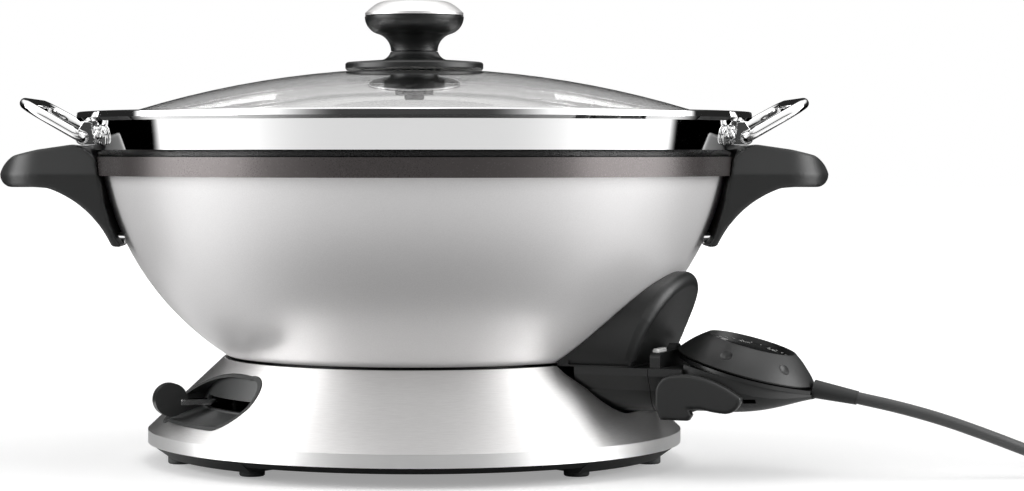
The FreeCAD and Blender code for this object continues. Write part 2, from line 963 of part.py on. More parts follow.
def make_socket():
    housing = new_body("socket_blank")
    length = D.socket_front - D.socket_back
    pad(housing, "YZ_Plane", socket_outline(), length, level=D.socket_back)
    bore(
        housing,
        "YZ_Plane",
        outlines=[socket_outline(grow=-D.shell, top=D.skirt_top_z - D.shell)],
        depth=length - D.shell,
        level=D.socket_back + D.shell,
        reverse=True,
    )
    place(housing, turn=D.probe_turn)
    window_x, window_y = around(D.socket_back, D.probe_turn, x=-5, y=-20)
    window = box(
        "block_window",
        length=15.3,
        width=40,
        height=40,
        x=window_x,
        y=window_y,
        z=D.pin_z - 7,
        turn=D.probe_turn,
    )
    keep(boolean("Cut", "socket_housing", housing, window))

    block_x, block_y = around(D.socket_back, D.probe_turn, x=D.seat_gap, y=-19.7)
    keep(
        box(
            "terminal_block",
            length=9.7,
            width=39.4,
            height=21.5,
            x=block_x,
            y=block_y,
            z=D.pin_z - 6.7,
            turn=D.probe_turn,
        )
    )
    pins = []
    for index, side in enumerate((D.pin_side, -D.pin_side)):
        x, y = around(D.socket_back, D.probe_turn, x=10, y=side)
        where = {"x": x, "y": y, "z": D.pin_z, "turn": D.probe_turn, "tilt": 90}
        pin = cylinder(f"terminal_pin_{index}", D.pin_r, 26, **where)
        pins.append(pin)
    keep(group("terminal_pins", pins))

    sleeve = new_body("sensor_sleeve")
    pad_sketch = new_sketch(sleeve, "YZ_Plane", D.socket_back + 10)
    draw_circle(pad_sketch, 0, D.pin_z, D.rod_r + 2)
    draw_circle(pad_sketch, 0, D.pin_z, D.rod_r + D.running_gap)
    raise_sketch(sleeve, pad_sketch, 18)
    place(sleeve, turn=D.probe_turn)
    keep(sleeve)


def hood_outline(inset=0):
    """The hood's arch as (side, height) corners: bulging sides, round shoulders and a flatter crown."""
    foot, low = D.socket_half + 0.5 - inset, D.skirt_top_z
    side = D.hood_side_half - inset * 0.936
    side_z = D.hood_side_z - inset * 0.352
    crown = D.hood_crown_half - inset * 0.423
    crown_z = D.hood_crown_z - inset * 0.906
    flank, shoulder, top = 42 - inset, 31 - inset, 57 - inset
    return [
        (foot, low, flank),
        (side, side_z, shoulder),
        (crown, crown_z, top),
        (-crown, crown_z, shoulder),
        (-side, side_z, flank),
        (-foot, low),
    ]


def hood_front(inset=0):
    """Everything in front of the hood's leaning end face, as (x, height) corners."""
    low, reach = D.skirt_top_z - 5, 60
    return [
        (D.hood_foot_x - inset, low),
        (D.hood_foot_x + reach, low),
        (D.hood_lip_x + reach, D.hood_lip_z),
        (D.hood_lip_x - inset, D.hood_lip_z, 200),
    ]


def lip_edges(shape, above):
    """Names of the edges where the arch meets the end face, above a height."""
    names = []
    for index, edge in enumerate(shape.Edges):
        box_of = edge.BoundBox
        if box_of.XMin > D.hood_foot_x.number - 6 and box_of.ZMax > above + 1:
            names.append(f"Edge{index + 1}")
    return names


def make_hood():
    envelope = new_body("pan_envelope")
    revolve(envelope, pan_outside(grow=D.seat_gap) + [(0, D.pan_rim_top)])
    shapes = []
    for name, inset, wall in (("hood_blank", as_size(0), 0), ("hood_core", D.shell, D.shell)):
        body = new_body(name)
        pad(body, "YZ_Plane", hood_outline(inset), 76, level=D.pan_bottom_r - 6)
        faced = bore(body, "XZ_Plane", outlines=[hood_front(wall)])
        lip = body.newObject("PartDesign::Fillet", f"{name}_lip")
        lip.Base = (faced, lip_edges(faced.Shape, D.skirt_top_z.number))
        bind(lip, "Radius", 5.0 - as_size(inset))
        place(body, turn=D.probe_turn)
        shapes.append(body)
    hollow = boolean("Cut", "hood_hollow", *shapes)
    seam = new_body("hood_seam_band")
    seam_low, seam_high, seam_deep = D.skirt_top_z + 1.0, D.skirt_top_z + 3.4, 1.2
    wide = D.socket_half + 10
    pad(
        seam,
        "XY_Plane",
        [(D.pan_bottom_r, -wide), (D.hood_lip_x, -wide), (D.hood_lip_x, wide), (D.pan_bottom_r, wide)],
        seam_high - seam_low,
        level=seam_low,
    )
    place(seam, turn=D.probe_turn)
    keel = new_body("hood_seam_core")
    pad(keel, "YZ_Plane", hood_outline(seam_deep), 76, level=D.pan_bottom_r - 6)
    bore(keel, "XZ_Plane", outlines=[hood_front(seam_deep)])
    place(keel, turn=D.probe_turn)
    groove = boolean("Cut", "hood_seam", seam, keel)
    grooved = boolean("Cut", "hood_grooved", hollow, groove)
    keep(boolean("Cut", "probe_hood", grooved, envelope))


# ---- probe ---------------------------------------------------------------------------------------


def deck_height(x):
    """Height of the dial's underside plane above a point on the probe's centre line."""
    return D.dial_z - (as_size(x) - D.dial_x) * tangent(D.dial_tilt)


def shell_section(x, half, low, drop, rise=0):
    """One (side, height) section of the boat-shaped shell, up to the underside of the deck or beyond."""
    top = deck_height(x) - D.deck_drop / cosine(D.dial_tilt)
    side_top = top - drop
    bend, keel = half * 0.75, half * 0.4
    return [
        (half, top + rise),
        (-half, top + rise),
        (-half, side_top, bend),
        (-keel, low),
        (keel, low, bend),
        (half, side_top),
    ]


def make_probe_shell():
    """A boat under the dial: wide sections at the neck that close towards the cord."""
    low, wall, out = D.socket_low, D.shell, D.dial_x
    skin = [
        (D.neck_end, 35.5, low + 0.4, 6),
        (out + 4, 34.0, low + 0.8, 6),
        (out + 22, 23.0, low + 4.0, 5),
        (out + 30, 15.0, low + 6.2, 3),
        (D.probe_tip_x, 6.5, D.probe_tip_z - 3.2, 0.8),
    ]
    hollow = [
        (D.neck_end + wall, 35.5 - wall, low + 0.4 + wall, 6),
        (out + 4, 34.0 - wall, low + 0.8 + wall, 6),
        (out + 22, 23.0 - wall, low + 4.0 + wall, 4),
        (out + 26, 18.6 - wall, low + 5.0 + wall, 3),
    ]
    clear_rise = 8
    shapes = []
    for name, stations, rise in (("shell_blank", skin, 0), ("shell_core", hollow, clear_rise)):
        body = new_body(name)
        sections = []
        for x, half, foot, drop in stations:
            sketch = new_sketch(body, "YZ_Plane", x)
            draw_outline(sketch, shell_section(as_size(x), as_size(half), foot, drop, rise))
            sections.append(sketch)
        loft = body.newObject("PartDesign::AdditiveLoft", f"{name}_loft")
        loft.Profile = sections[0]
        loft.Sections = sections[1:]
        place(body, turn=D.probe_turn)
        shapes.append(body)
    hollow_shell = boolean("Cut", "shell_hollow", *shapes)
    slot_x, slot_y = around(196.0, D.probe_turn, y=-38)
    slot = box("latch_slot", 6.6, 24, 2.3, x=slot_x, y=slot_y, z=39.4, turn=D.probe_turn)
    keep(boolean("Cut", "probe_shell", hollow_shell, slot))


def make_probe_neck():
    neck = new_body("probe_neck")
    front = D.socket_front + D.seat_gap
    length = D.neck_end - front
    pad(neck, "YZ_Plane", socket_outline(), length, level=front)
    bore(
        neck,
        "YZ_Plane",
        outlines=[socket_outline(grow=-D.shell, top=D.skirt_top_z - D.shell)],
        depth=length - D.shell,
        level=front + D.shell,
        reverse=True,
    )
    low, top, wide, round_r = D.skirt_top_z - 1, D.collar_top, D.socket_half - 3, 3.0
    pad(
        neck,
        "YZ_Plane",
        [
            (-wide, low),
            (wide, low),
            (wide, top - round_r, round_r),
            (wide - round_r, top),
            (-(wide - round_r), top, round_r),
            (-wide, top - round_r),
        ],
        D.collar_long,
        level=front,
    )
    pad(neck, "YZ_Plane", [(-6.5, top - 0.5), (6.5, top - 0.5, 7.9)], 4.6, level=front + 0.4)
    place(neck, turn=D.probe_turn)
    keep(neck)

    rod_start = D.socket_back + 12
    x, y = around(rod_start, D.probe_turn)
    rod = cylinder(
        "sensor_rod", D.rod_r, front - rod_start, x=x, y=y, z=D.pin_z, turn=D.probe_turn, tilt=90
    )
    keep(rod)
    tubes = []
    tube_start = D.socket_back + 17
    for index, side in enumerate((D.pin_side, -D.pin_side)):
        tube = new_body(f"contact_tube_{index}")
        sketch = new_sketch(tube, "YZ_Plane", tube_start)
        draw_circle(sketch, side, D.pin_z, D.pin_r + 1.8)
        draw_circle(sketch, side, D.pin_z, D.pin_r + D.running_gap)
        raise_sketch(tube, sketch, front - tube_start)
        place(tube, turn=D.probe_turn)
        tubes.append(tube)
    keep(group("contact_tubes", tubes))

    light = new_body("heating_light")
    near, far, end_r, light_high = front + 0.6, front + 4.4, 1.95, 2.0
    lens = pad(
        light,
        "XY_Plane",
        [(far, -33.0), (far, -20.0, end_r), (near, -20.0), (near, -33.0, end_r)],
        light_high,
        level=D.collar_top,
    )
    soften(light, lens, "ZMax", (D.collar_top + light_high).number, 1.2)
    place(light, turn=D.probe_turn)
    keep(light)


def in_dial_frame(body, along=0, across=0, up=0):
    """Stand a body on the tilted plane of the dial, up off it, along it and across it."""
    up, along = as_size(up), as_size(along)
    out = D.dial_x + along * cosine(D.dial_tilt) + up * sine(D.dial_tilt)
    x, y = around(out, D.probe_turn, y=across)
    z = D.dial_z - along * sine(D.dial_tilt) + up * cosine(D.dial_tilt)
    return place(body, x=x, y=y, z=z, turn=D.probe_turn, tilt=D.dial_tilt)


def make_dial():
    deck = new_body("probe_deck")
    sketch = new_sketch(deck, "XY_Plane")
    draw_outline(
        sketch,
        [
            (-23, -27.0, 35.5),
            (23, -27.0, 120),
            (38.5, -7.5),
            (38.5, 7.5, 120),
            (23, 27.0, 35.5),
            (-23, 27.0, 35.5),
        ],
    )
    draw_circle(sketch, 0, 0, D.shaft_r + D.running_gap)
    raise_sketch(deck, sketch, 2)
    in_dial_frame(deck, up=-D.deck_drop)
    keep(deck)

    dial = new_body("dial_blank")
    hub = D.shaft_r + 3
    face_thick = 0.6
    face_low = D.dial_high - D.dial_recess - face_thick
    inner_top = face_low - 1.8
    revolve(
        dial,
        [
            (D.shaft_r, 0.6),
            (hub, 0.6),
            (hub, inner_top),
            (D.dial_top_r + 2.0, inner_top),
            (D.dial_r - 3.6, 0),
            (D.dial_r - 0.6, 0),
            (D.dial_r, 0.8, 60),
            (D.dial_top_r + 0.4, D.dial_high),
            (D.dial_top_r - 0.6, D.dial_high),
            (D.dial_top_r - 1.2, face_low),
            (D.shaft_r, face_low),
        ],
    )
    in_dial_frame(dial)
    ball = 5.0
    ring, level = (D.dial_r + D.dial_top_r) / 2 + ball * 0.68, D.dial_high / 2 + ball * 0.7
    balls = []
    for index in range(6):
        turn = 60 * index + 22
        dimple = document.addObject("Part::Sphere", f"dial_dimple_{index}")
        bind(dimple, "Radius", ball)
        along, across = ring * cosine(turn), ring * sine(turn)
        balls.append(in_dial_frame(dimple, along=along, across=across, up=level))
    keep(boolean("Cut", "dial_knob", dial, group("dial_dimples", balls)))

    face = cylinder("dial_face", D.dial_top_r - 1.3, face_thick)
    in_dial_frame(face, up=face_low)
    keep(face)
    shaft = cylinder("dial_shaft", D.shaft_r, face_low + 7.5)
    in_dial_frame(shaft, up=-7.5)
    keep(shaft)

    thermostat = box("thermostat_body", length=30, width=26, height=9.2)
    x, y = around(D.dial_x - 15, D.probe_turn, y=-13)
    place(thermostat, x=x, y=y, z=D.dial_z - 17.5, turn=D.probe_turn)
    keep(thermostat)


def make_release_lever():
    """A plate beside the neck with a thumb lobe and a hook under it, and its pivot pin."""
    lever = new_body("release_lever_blank")
    sketch = new_sketch(lever, "XZ_Plane")
    draw_outline(
        sketch,
        [
            (153.0, 37.0),
            (155.9, 30.7),
            (171.0, 30.7),
            (172.9, 33.7),
            (171.3, 36.9),
            (178.0, 36.9, 60),
            (190.0, 35.0, 9),
            (198.4, 40.0, 4.5),
            (198.9, 43.6, 60),
            (178.0, 53.6, 40),
            (163.0, 54.6, 10),
            (153.0, 46.0),
        ],
    )
    plate = raise_sketch(lever, sketch, D.lever_thick)
    soften(lever, plate, "YMin", -D.lever_thick.number, D.lever_round)
    x, y = around(0, D.probe_turn, y=-(D.socket_half + 0.5))
    place(lever, x=x, y=y, turn=D.probe_turn)
    pin_x, pin_y = around(D.lever_pivot_x, D.probe_turn, y=-(D.socket_half + 3.4))
    across = {"x": pin_x, "y": pin_y, "z": D.lever_pivot_z, "turn": D.probe_turn, "roll": -90}
    pin_hole = cylinder("lever_pin_hole", D.lever_pin_r + D.running_gap, 12, **across)
    pin = cylinder("lever_pin", D.lever_pin_r, 7.8, **across)
    keep(boolean("Cut", "release_lever", lever, pin_hole))
    keep(pin)


# ---- cord ----------------------------------------------------------------------------------------

# The cord's centre line from the end of the strain relief to where it joins the coil.
CORD_ROUTE = [
    (232.0, -92.6, 41.7),
    (252.0, -97.4, 37.6),
    (276.0, -99.4, 31.0),
    (301.0, -98.0, 22.0),
    (325.0, -94.6, 12.6),
    (347.0, -91.0, 6.2),
    (364.0, -89.3, 4.0),
    (378.0, -88.9, 3.5),
]
COIL_CENTRE = (393.0, -50.0)


def rounded_path(points):
    """Straight runs joined by tangent arcs, each as large as its two runs allow."""
    points = [Vector(*point) for point in points]
    edges, radii = [], []
    start = points[0]
    for before, corner, after in zip(points, points[1:], points[2:]):
        back, ahead = before - corner, after - corner
        reach = 0.45 * min(back.Length, ahead.Length)
        turn = math.pi - back.getAngle(ahead)
        radii.append(reach / math.tan(turn / 2))
        back.normalize()
        ahead.normalize()
        enter, leave = corner + back * reach, corner + ahead * reach
        bisector = (back + ahead).normalize()
        middle = corner + bisector * (reach / math.cos((math.pi - turn) / 2) - radii[-1])
        edges.append(Part.LineSegment(start, enter).toShape())
        edges.append(Part.Arc(enter, middle, leave).toShape())
        start = leave
    edges.append(Part.LineSegment(start, points[-1]).toShape())
    return Part.Wire(edges), radii


def make_cord():
    radius = D.cord_r.number
    path, radii = rounded_path(CORD_ROUTE)
    print("cord radii:", " ".join(f"{value:.0f}" for value in radii))
    start = Vector(*CORD_ROUTE[0])
    heading = (Vector(*CORD_ROUTE[1]) - start).normalize()
    ring = Part.Wire([Part.Circle(start, heading, radius).toShape()])
    tube = path.makePipeShell([ring], True, True)
    straight_volume = math.pi * radius**2 * path.Length
    print(f"cord volume over section times length: {tube.Volume / straight_volume:.4f}")
    cord = document.addObject("Part::Feature", "cord_tube")
    cord.Shape = tube
    cord.Placement = Placement()
    keep(cord)

    relief_x, relief_y = around(D.relief_start, D.probe_turn)
    relief_start = Vector(relief_x.number, relief_y.number, D.relief_z.number)
    axis = start - relief_start
    relief = document.addObject("Part::Cone", "strain_relief")
    bind(relief, "Radius1", D.relief_r)
    bind(relief, "Radius2", D.cord_r + 0.45)
    relief.Height = axis.Length
    relief.Placement = Placement(relief_start, Rotation(Vector(0, 0, 1), axis))
    keep(relief)

    coil = new_body("cord_coil")
    low, high = 0.2, 4 * D.cord_r + 0.4
    revolve(coil, [(29.0, low), (42.6, low), (42.6, high), (29.0, high)])
    place(coil, x=COIL_CENTRE[0], y=COIL_CENTRE[1])
    keep(coil)

    plug = new_body("plug_body")
    pad(
        plug,
        "XZ_Plane",
        [
            (-15, high),
            (15, high),
            (15, high + 16, 6),
            (9, high + 19),
            (-9, high + 19, 6),
            (-15, high + 16),
        ],
        30,
        both_ways=True,
    )
    place(plug, x=COIL_CENTRE[0] + 33, y=COIL_CENTRE[1])
    keep(plug)
    blades = []
    for index, side in enumerate((-6.35, 6.35)):
        blade_x = COIL_CENTRE[0] + 33 + side - 0.75
        blade = box(f"blade_{index}", 1.5, 17, 6.3, x=blade_x, y=COIL_CENTRE[1] + 15, z=high + 6)
        blades.append(blade)
    keep(group("plug_blades", blades))


# ---- pan handles -----------------------------------------------------------------------------------


def handle_clearance():
    """Everything a handle has to stay out of: the pan, and the tray's wall above the rim."""
    keep_out = new_body("handle_keep_out")
    clear = 1.2
    revolve(
        keep_out,
        pan_outside(grow=D.seat_gap)
        + [
            (TRAY_LOW_R + clear, D.pan_rim_top + 0.5),
            (TRAY_LOW_R + clear, D.tray_low_z),
            (D.tray_top_r + clear, D.tray_top_z),
            (0, D.tray_top_z),
        ],
    )
    return keep_out


def make_handle(name, turn, keep_out):
    """A moulded grip: a side profile and a plan with a finger opening, fitted round the pan."""
    side = new_body(f"{name}_side")
    crease, reach = 158.5, D.grip_reach
    pad(
        side,
        "XZ_Plane",
        [
            (157.0, 119.0),
            (162.5, 119.6),
            (163.7, 121.5, -57),
            (197.0, 151.0),
            (204.0, 151.6),
            (218.6, 151.5),
            (221.7, 152.4, 14),
            (reach, crease, 32),
            (216.5, 168.7),
            (203.1, 171.8),
            (184.0, D.grip_crown_z),
            (181.0, D.grip_crown_z - 0.7),
            (178.4, D.grip_crown_z - 1.8),
            (172.5, 168.7),
            (171.0, 166.0),
            (169.2, 158.0),
            (167.6, 151.9),
            (166.5, 142.7),
            (164.0, 133.6),
            (161.0, 124.4),
        ],
        2 * D.grip_half + 10,
        both_ways=True,
    )
    plan = new_body(f"{name}_plan")
    half, corner, bend = D.grip_half, D.grip_corner, D.grip_bend
    arc_x = reach - bend
    inner = half - corner
    corner_x = root((bend - corner) * (bend - corner) - inner * inner)
    share = bend / (bend - corner)
    meet_x, meet_y = arc_x + corner_x * share, inner * share
    outline = [
        (140, -half),
        (arc_x + corner_x, -half, corner),
        (meet_x, -meet_y, bend),
        (meet_x, meet_y, corner),
        (arc_x + corner_x, half),
        (140, half),
    ]
    above = pad(plan, "XY_Plane", outline, 22, level=crease)
    bind(above, "TaperAngle", D.grip_lean * -1)
    below = pad(plan, "XY_Plane", outline, 45, level=crease)
    below.Reversed = True
    bind(below, "TaperAngle", D.grip_foot_lean * -1)
    finger, near, far = D.finger_half, D.finger_near, D.finger_far
    opening = [
        (near, -finger),
        (far - 10, -finger, 12),
        (far, -(finger - 10)),
        (far, finger - 10, 12),
        (far - 10, finger),
        (near, finger),
    ]
    bore(plan, "XY_Plane", outlines=[opening])
    for body in (side, plan):
        place(body, turn=turn)
    grip = boolean("Common", f"{name}_solid", side, plan)
    keep(boolean("Cut", name, grip, keep_out))


def make_handle_studs():
    """Bright studs that hold each handle's foot off the pan's wall."""
    start, shank_long, head_start, head_long = 157.4, 7.0, 162.5, 2.9
    studs = []
    for index, (side, sign) in enumerate(((0, 1), (0, -1), (180, 1), (180, -1))):
        where = {"z": D.stud_z, "turn": side, "tilt": 90}
        x, y = around(start, side, y=sign * D.stud_side)
        shank = cylinder(f"stud_shank_{index}", 3.0, shank_long, x=x, y=y, **where)
        x, y = around(head_start, side, y=sign * D.stud_side)
        head = cylinder(f"stud_head_{index}", 4.0, head_long, x=x, y=y, **where)
        studs.append(fuse_all(f"handle_stud_{index}", [shank, head]))
    keep(group("handle_studs", studs))


# ---- steamer tray ------------------------------------------------------------------------------------


def tray_outside():
    """The tray's outer profile from the floor's edge to the rolled bead."""
    return [
        (D.tray_floor_r, D.tray_floor_z, 16),
        (D.tray_floor_r + 13, D.tray_floor_z + 10),
        (D.pan_inside_r - 3.5, D.tray_seat_z - 3.0),
        (D.pan_mouth_r - 1.2, D.tray_seat_z),
        (D.pan_mouth_r + 2.6, D.tray_seat_z),
        (TRAY_LOW_R, D.tray_low_z),
        (D.tray_top_r, D.tray_top_z),
        (BEAD_R - 2.2, D.tray_top_z),
        (BEAD_R, D.tray_top_z + 1.8),
        (BEAD_R, D.bead_top - 0.7),
        (BEAD_R - 1.2, D.bead_top),
    ]


def make_tray():
    tray = new_body("steamer_tray")
    sheet_z = D.sheet
    revolve(
        tray,
        [(0, D.tray_floor_z)]
        + tray_outside()
        + [
            (BEAD_IN, D.bead_top - 0.7),
            (BEAD_IN, D.tray_top_z + sheet_z),
            (D.tray_top_r - sheet_z, D.tray_top_z + sheet_z),
            (TRAY_LOW_R - sheet_z, D.tray_low_z + 0.5),
            (D.pan_mouth_r + 2.2, D.tray_seat_z + sheet_z),
            (D.pan_mouth_r - 1.6, D.tray_seat_z + sheet_z),
            (D.pan_inside_r - 4.5, D.tray_seat_z - 2.6),
            (D.tray_floor_r + 12.2, D.tray_floor_z + 10.6, -15),
            (D.tray_floor_r - 0.2, D.tray_floor_z + sheet_z),
            (0, D.tray_floor_z + sheet_z),
        ],
    )
    for count, ring in ((6, 22.0), (12, 46.0), (18, 70.0), (24, 94.0), (30, 118.0)):
        hole = bore(tray, "XY_Plane", circles=[(ring, 0, D.steam_hole_r)])
        ring_of(tray, [hole], count)
    keep(tray)

    envelope = new_body("tray_envelope")
    grow = 0.1
    outside = [(radius + grow, *rest) for radius, *rest in tray_outside()[4:]]
    revolve(envelope, [(0, D.tray_seat_z)] + outside + [(0, D.bead_top)])
    return envelope


def make_brackets(envelope):
    """Four knuckles that carry the loop handles, fitted to the tray's wall under the bead."""
    brackets, rivets = [], []
    px, pz, radius = LOOP_PIVOT_X, D.loop_pivot_z, D.knuckle_r
    width = D.knuckle_far - D.knuckle_near
    middle = (D.knuckle_far + D.knuckle_near) / 2
    inside = D.tray_top_r - 20
    for index, (turn, sign) in enumerate(((0, 1), (0, -1), (180, 1), (180, -1))):
        block = new_body(f"bracket_block_{index}")
        sketch = new_sketch(block, "XZ_Plane")
        draw_outline(
            sketch,
            [
                (inside, pz - radius),
                (px, pz - radius, radius),
                (px + radius * 0.8, pz + radius * 0.6),
                (px - 0.5, D.tray_top_z - 0.3),
                (inside, D.tray_top_z - 0.3),
            ],
        )
        draw_circle(sketch, px, pz, D.loop_wire + D.running_gap)
        raise_sketch(block, sketch, width, both_ways=True)
        x, y = around(0, turn, y=sign * middle)
        place(block, x=x, y=y, turn=turn)
        brackets.append(boolean("Cut", f"bracket_{index}", block, envelope))
        rx, ry = around(D.tray_top_r - 9.6, turn, y=sign * middle)
        where = {"x": rx, "y": ry, "z": D.tray_top_z - 3.4, "turn": turn, "tilt": 90}
        shank = cylinder(f"rivet_shank_{index}", 1.4, 6, **where)
        head = cylinder(f"rivet_head_{index}", 2.8, 1.0, **where)
        rivets.append(fuse_all(f"rivet_{index}", [shank, head]))
        plate, plate_rivets = wall_plate(index, turn, sign)
        brackets.append(plate)
        rivets += plate_rivets
    keep(group("tray_brackets", brackets))
    keep(group("bracket_rivets", rivets))


def wall_plate(index, turn, sign):
    """The plate beside a knuckle: a strap round the tray's wall with two riveted lobes."""
    middle_z, half_strap, lobe_r, thick, grow = D.loop_pivot_z + 1.0, 3.2, 5.4, 1.5, 0.1
    low, top = D.tray_low_z + 1, D.tray_top_z - 0.3
    lobe_turns = (19.4, 23.2)
    sheet_metal = new_body(f"plate_sheet_{index}")
    lean = (D.tray_top_r - TRAY_LOW_R) / (D.tray_top_z - D.tray_low_z)

    def wall(height):
        return TRAY_LOW_R + (as_size(height) - D.tray_low_z) * lean + grow

    revolve(
        sheet_metal,
        [(wall(low), low), (wall(low) + thick, low), (wall(top) + thick, top), (wall(top), top)],
    )
    strap = new_body(f"plate_strap_{index}")
    under, over = middle_z - half_strap, middle_z + half_strap
    revolve(
        strap,
        [
            (wall(under) + 0.05, under),
            (wall(under) + thick - 0.1, under),
            (wall(over) + thick - 0.1, over),
            (wall(over) + 0.05, over),
        ],
        angle=8,
    )
    place(strap, turn=turn + sign * (lobe_turns[0] - 0.2))
    pieces, rivets = [strap], []
    for number, lobe_turn in enumerate(lobe_turns):
        angle = turn + sign * lobe_turn
        x, y = around(160, angle)
        where = {"z": middle_z, "turn": angle, "tilt": 90}
        lobe = cylinder(f"plate_lobe_{index}_{number}", lobe_r, 30, x=x, y=y, **where)
        pieces.append(boolean("Common", f"plate_disc_{index}_{number}", sheet_metal, lobe))
        x, y = around(wall(middle_z) - 2.2, angle)
        shank = cylinder(f"plate_shank_{index}_{number}", 1.4, 4.6, x=x, y=y, **where)
        head = cylinder(f"plate_head_{index}_{number}", 2.6, 1.0, x=x, y=y, **where)
        rivets.append(fuse_all(f"plate_rivet_{index}_{number}", [shank, head]))
    return fuse_all(f"bracket_plate_{index}", pieces), rivets


def make_loop(name, turn):
    """A wire loop whose inturned ends pivot in two knuckles."""
    loop = new_body(name)
    spine = new_sketch(loop, "XY_Plane")
    half, reach, near = D.loop_half, D.loop_reach, D.knuckle_near + 0.5
    bend, corner = 5, 15
    route = [
        (0, near),
        (0, half - bend, -bend),
        (bend, half),
        (reach - corner, half, -corner),
        (reach, half - corner),
        (reach, -(half - corner), -corner),
        (reach - corner, -half),
        (bend, -half, -bend),
        (0, -(half - bend)),
        (0, -near),
    ]
    points = [(as_size(x), as_size(y)) for x, y, *_ in route]
    for index in range(len(route) - 1):
        ends = [Vector(x.number, y.number, 0) for x, y in points[index : index + 2]]
        bent = len(route[index]) > 2
        run = arc_between(*ends, route[index][2]) if bent else Part.LineSegment(*ends)
        edge = spine.addGeometry(run)
        first = 2 if bent else 1
        fix_point(spine, edge, first, "DistanceX", points[index][0])
        fix_point(spine, edge, first, "DistanceY", points[index][1])
        if bent:
            spine.addConstraint(Sketcher.Constraint("Radius", edge, abs(route[index][2])))
        if index:
            spine.addConstraint(Sketcher.Constraint("Coincident", edge - 1, last, edge, first))
        last = 1 if bent else 2
    fix_point(spine, edge, last, "DistanceY", points[-1][1])
    fix_point(spine, edge, last, "DistanceX", points[-1][0])
    profile = new_sketch(loop, "XZ_Plane", -near)
    draw_circle(profile, 0, 0, D.loop_wire)
    pipe = loop.newObject("PartDesign::AdditivePipe", f"{name}_pipe")
    pipe.Profile = profile
    pipe.Spine = spine
    x, y = around(LOOP_PIVOT_X, turn)
    place(loop, x=x, y=y, z=D.loop_pivot_z, turn=turn, tilt=-D.loop_lift)
    keep(loop)


# ---- lid ---------------------------------------------------------------------------------------


def dome_height(radius, depth=0):
    """Height of the glass at a radius, a depth below its outer face."""
    bend = DRIVING["lid"]["glass_bend"] - depth
    fall = bend - math.sqrt(bend**2 - as_size(radius).number ** 2)
    return D.glass_apex - depth - fall


def make_lid():
    glass = new_body("lid_glass")
    hole = D.lid_bolt_r + 1
    bend, thick = D.glass_bend, D.glass_thick
    revolve(
        glass,
        [
            (hole, dome_height(hole, 4.0), -(bend - thick)),
            (GLASS_R, dome_height(GLASS_R, 4.0)),
            (GLASS_R, dome_height(GLASS_R), bend),
            (hole, dome_height(hole)),
        ],
    )
    vent_holes = [(side * D.vent_hole_x, 0, D.vent_hole_r) for side in (1, -1)]
    bore(glass, "XY_Plane", circles=vent_holes)
    keep(glass)

    band = new_body("lid_rim_band")
    seat = D.tray_top_z + D.sheet + D.seat_gap
    lip = GLASS_R + 1.4
    glass_low = dome_height(GLASS_R, 4.0)
    glass_high = dome_height(GLASS_R)
    revolve(
        band,
        [
            (GLASS_R, glass_low - 1.0),
            (lip, glass_low - 1.0),
            (lip, seat),
            (BAND_R, seat),
            (BAND_R, seat + 0.8),
            (lip, seat + 0.8),
            (lip, glass_high + 1.0),
            (GLASS_R - 2.0, glass_high + 1.6),
            (GLASS_R - 2.0, glass_high + 0.8),
            (GLASS_R, glass_high + 0.2),
        ],
    )
    keep(band)


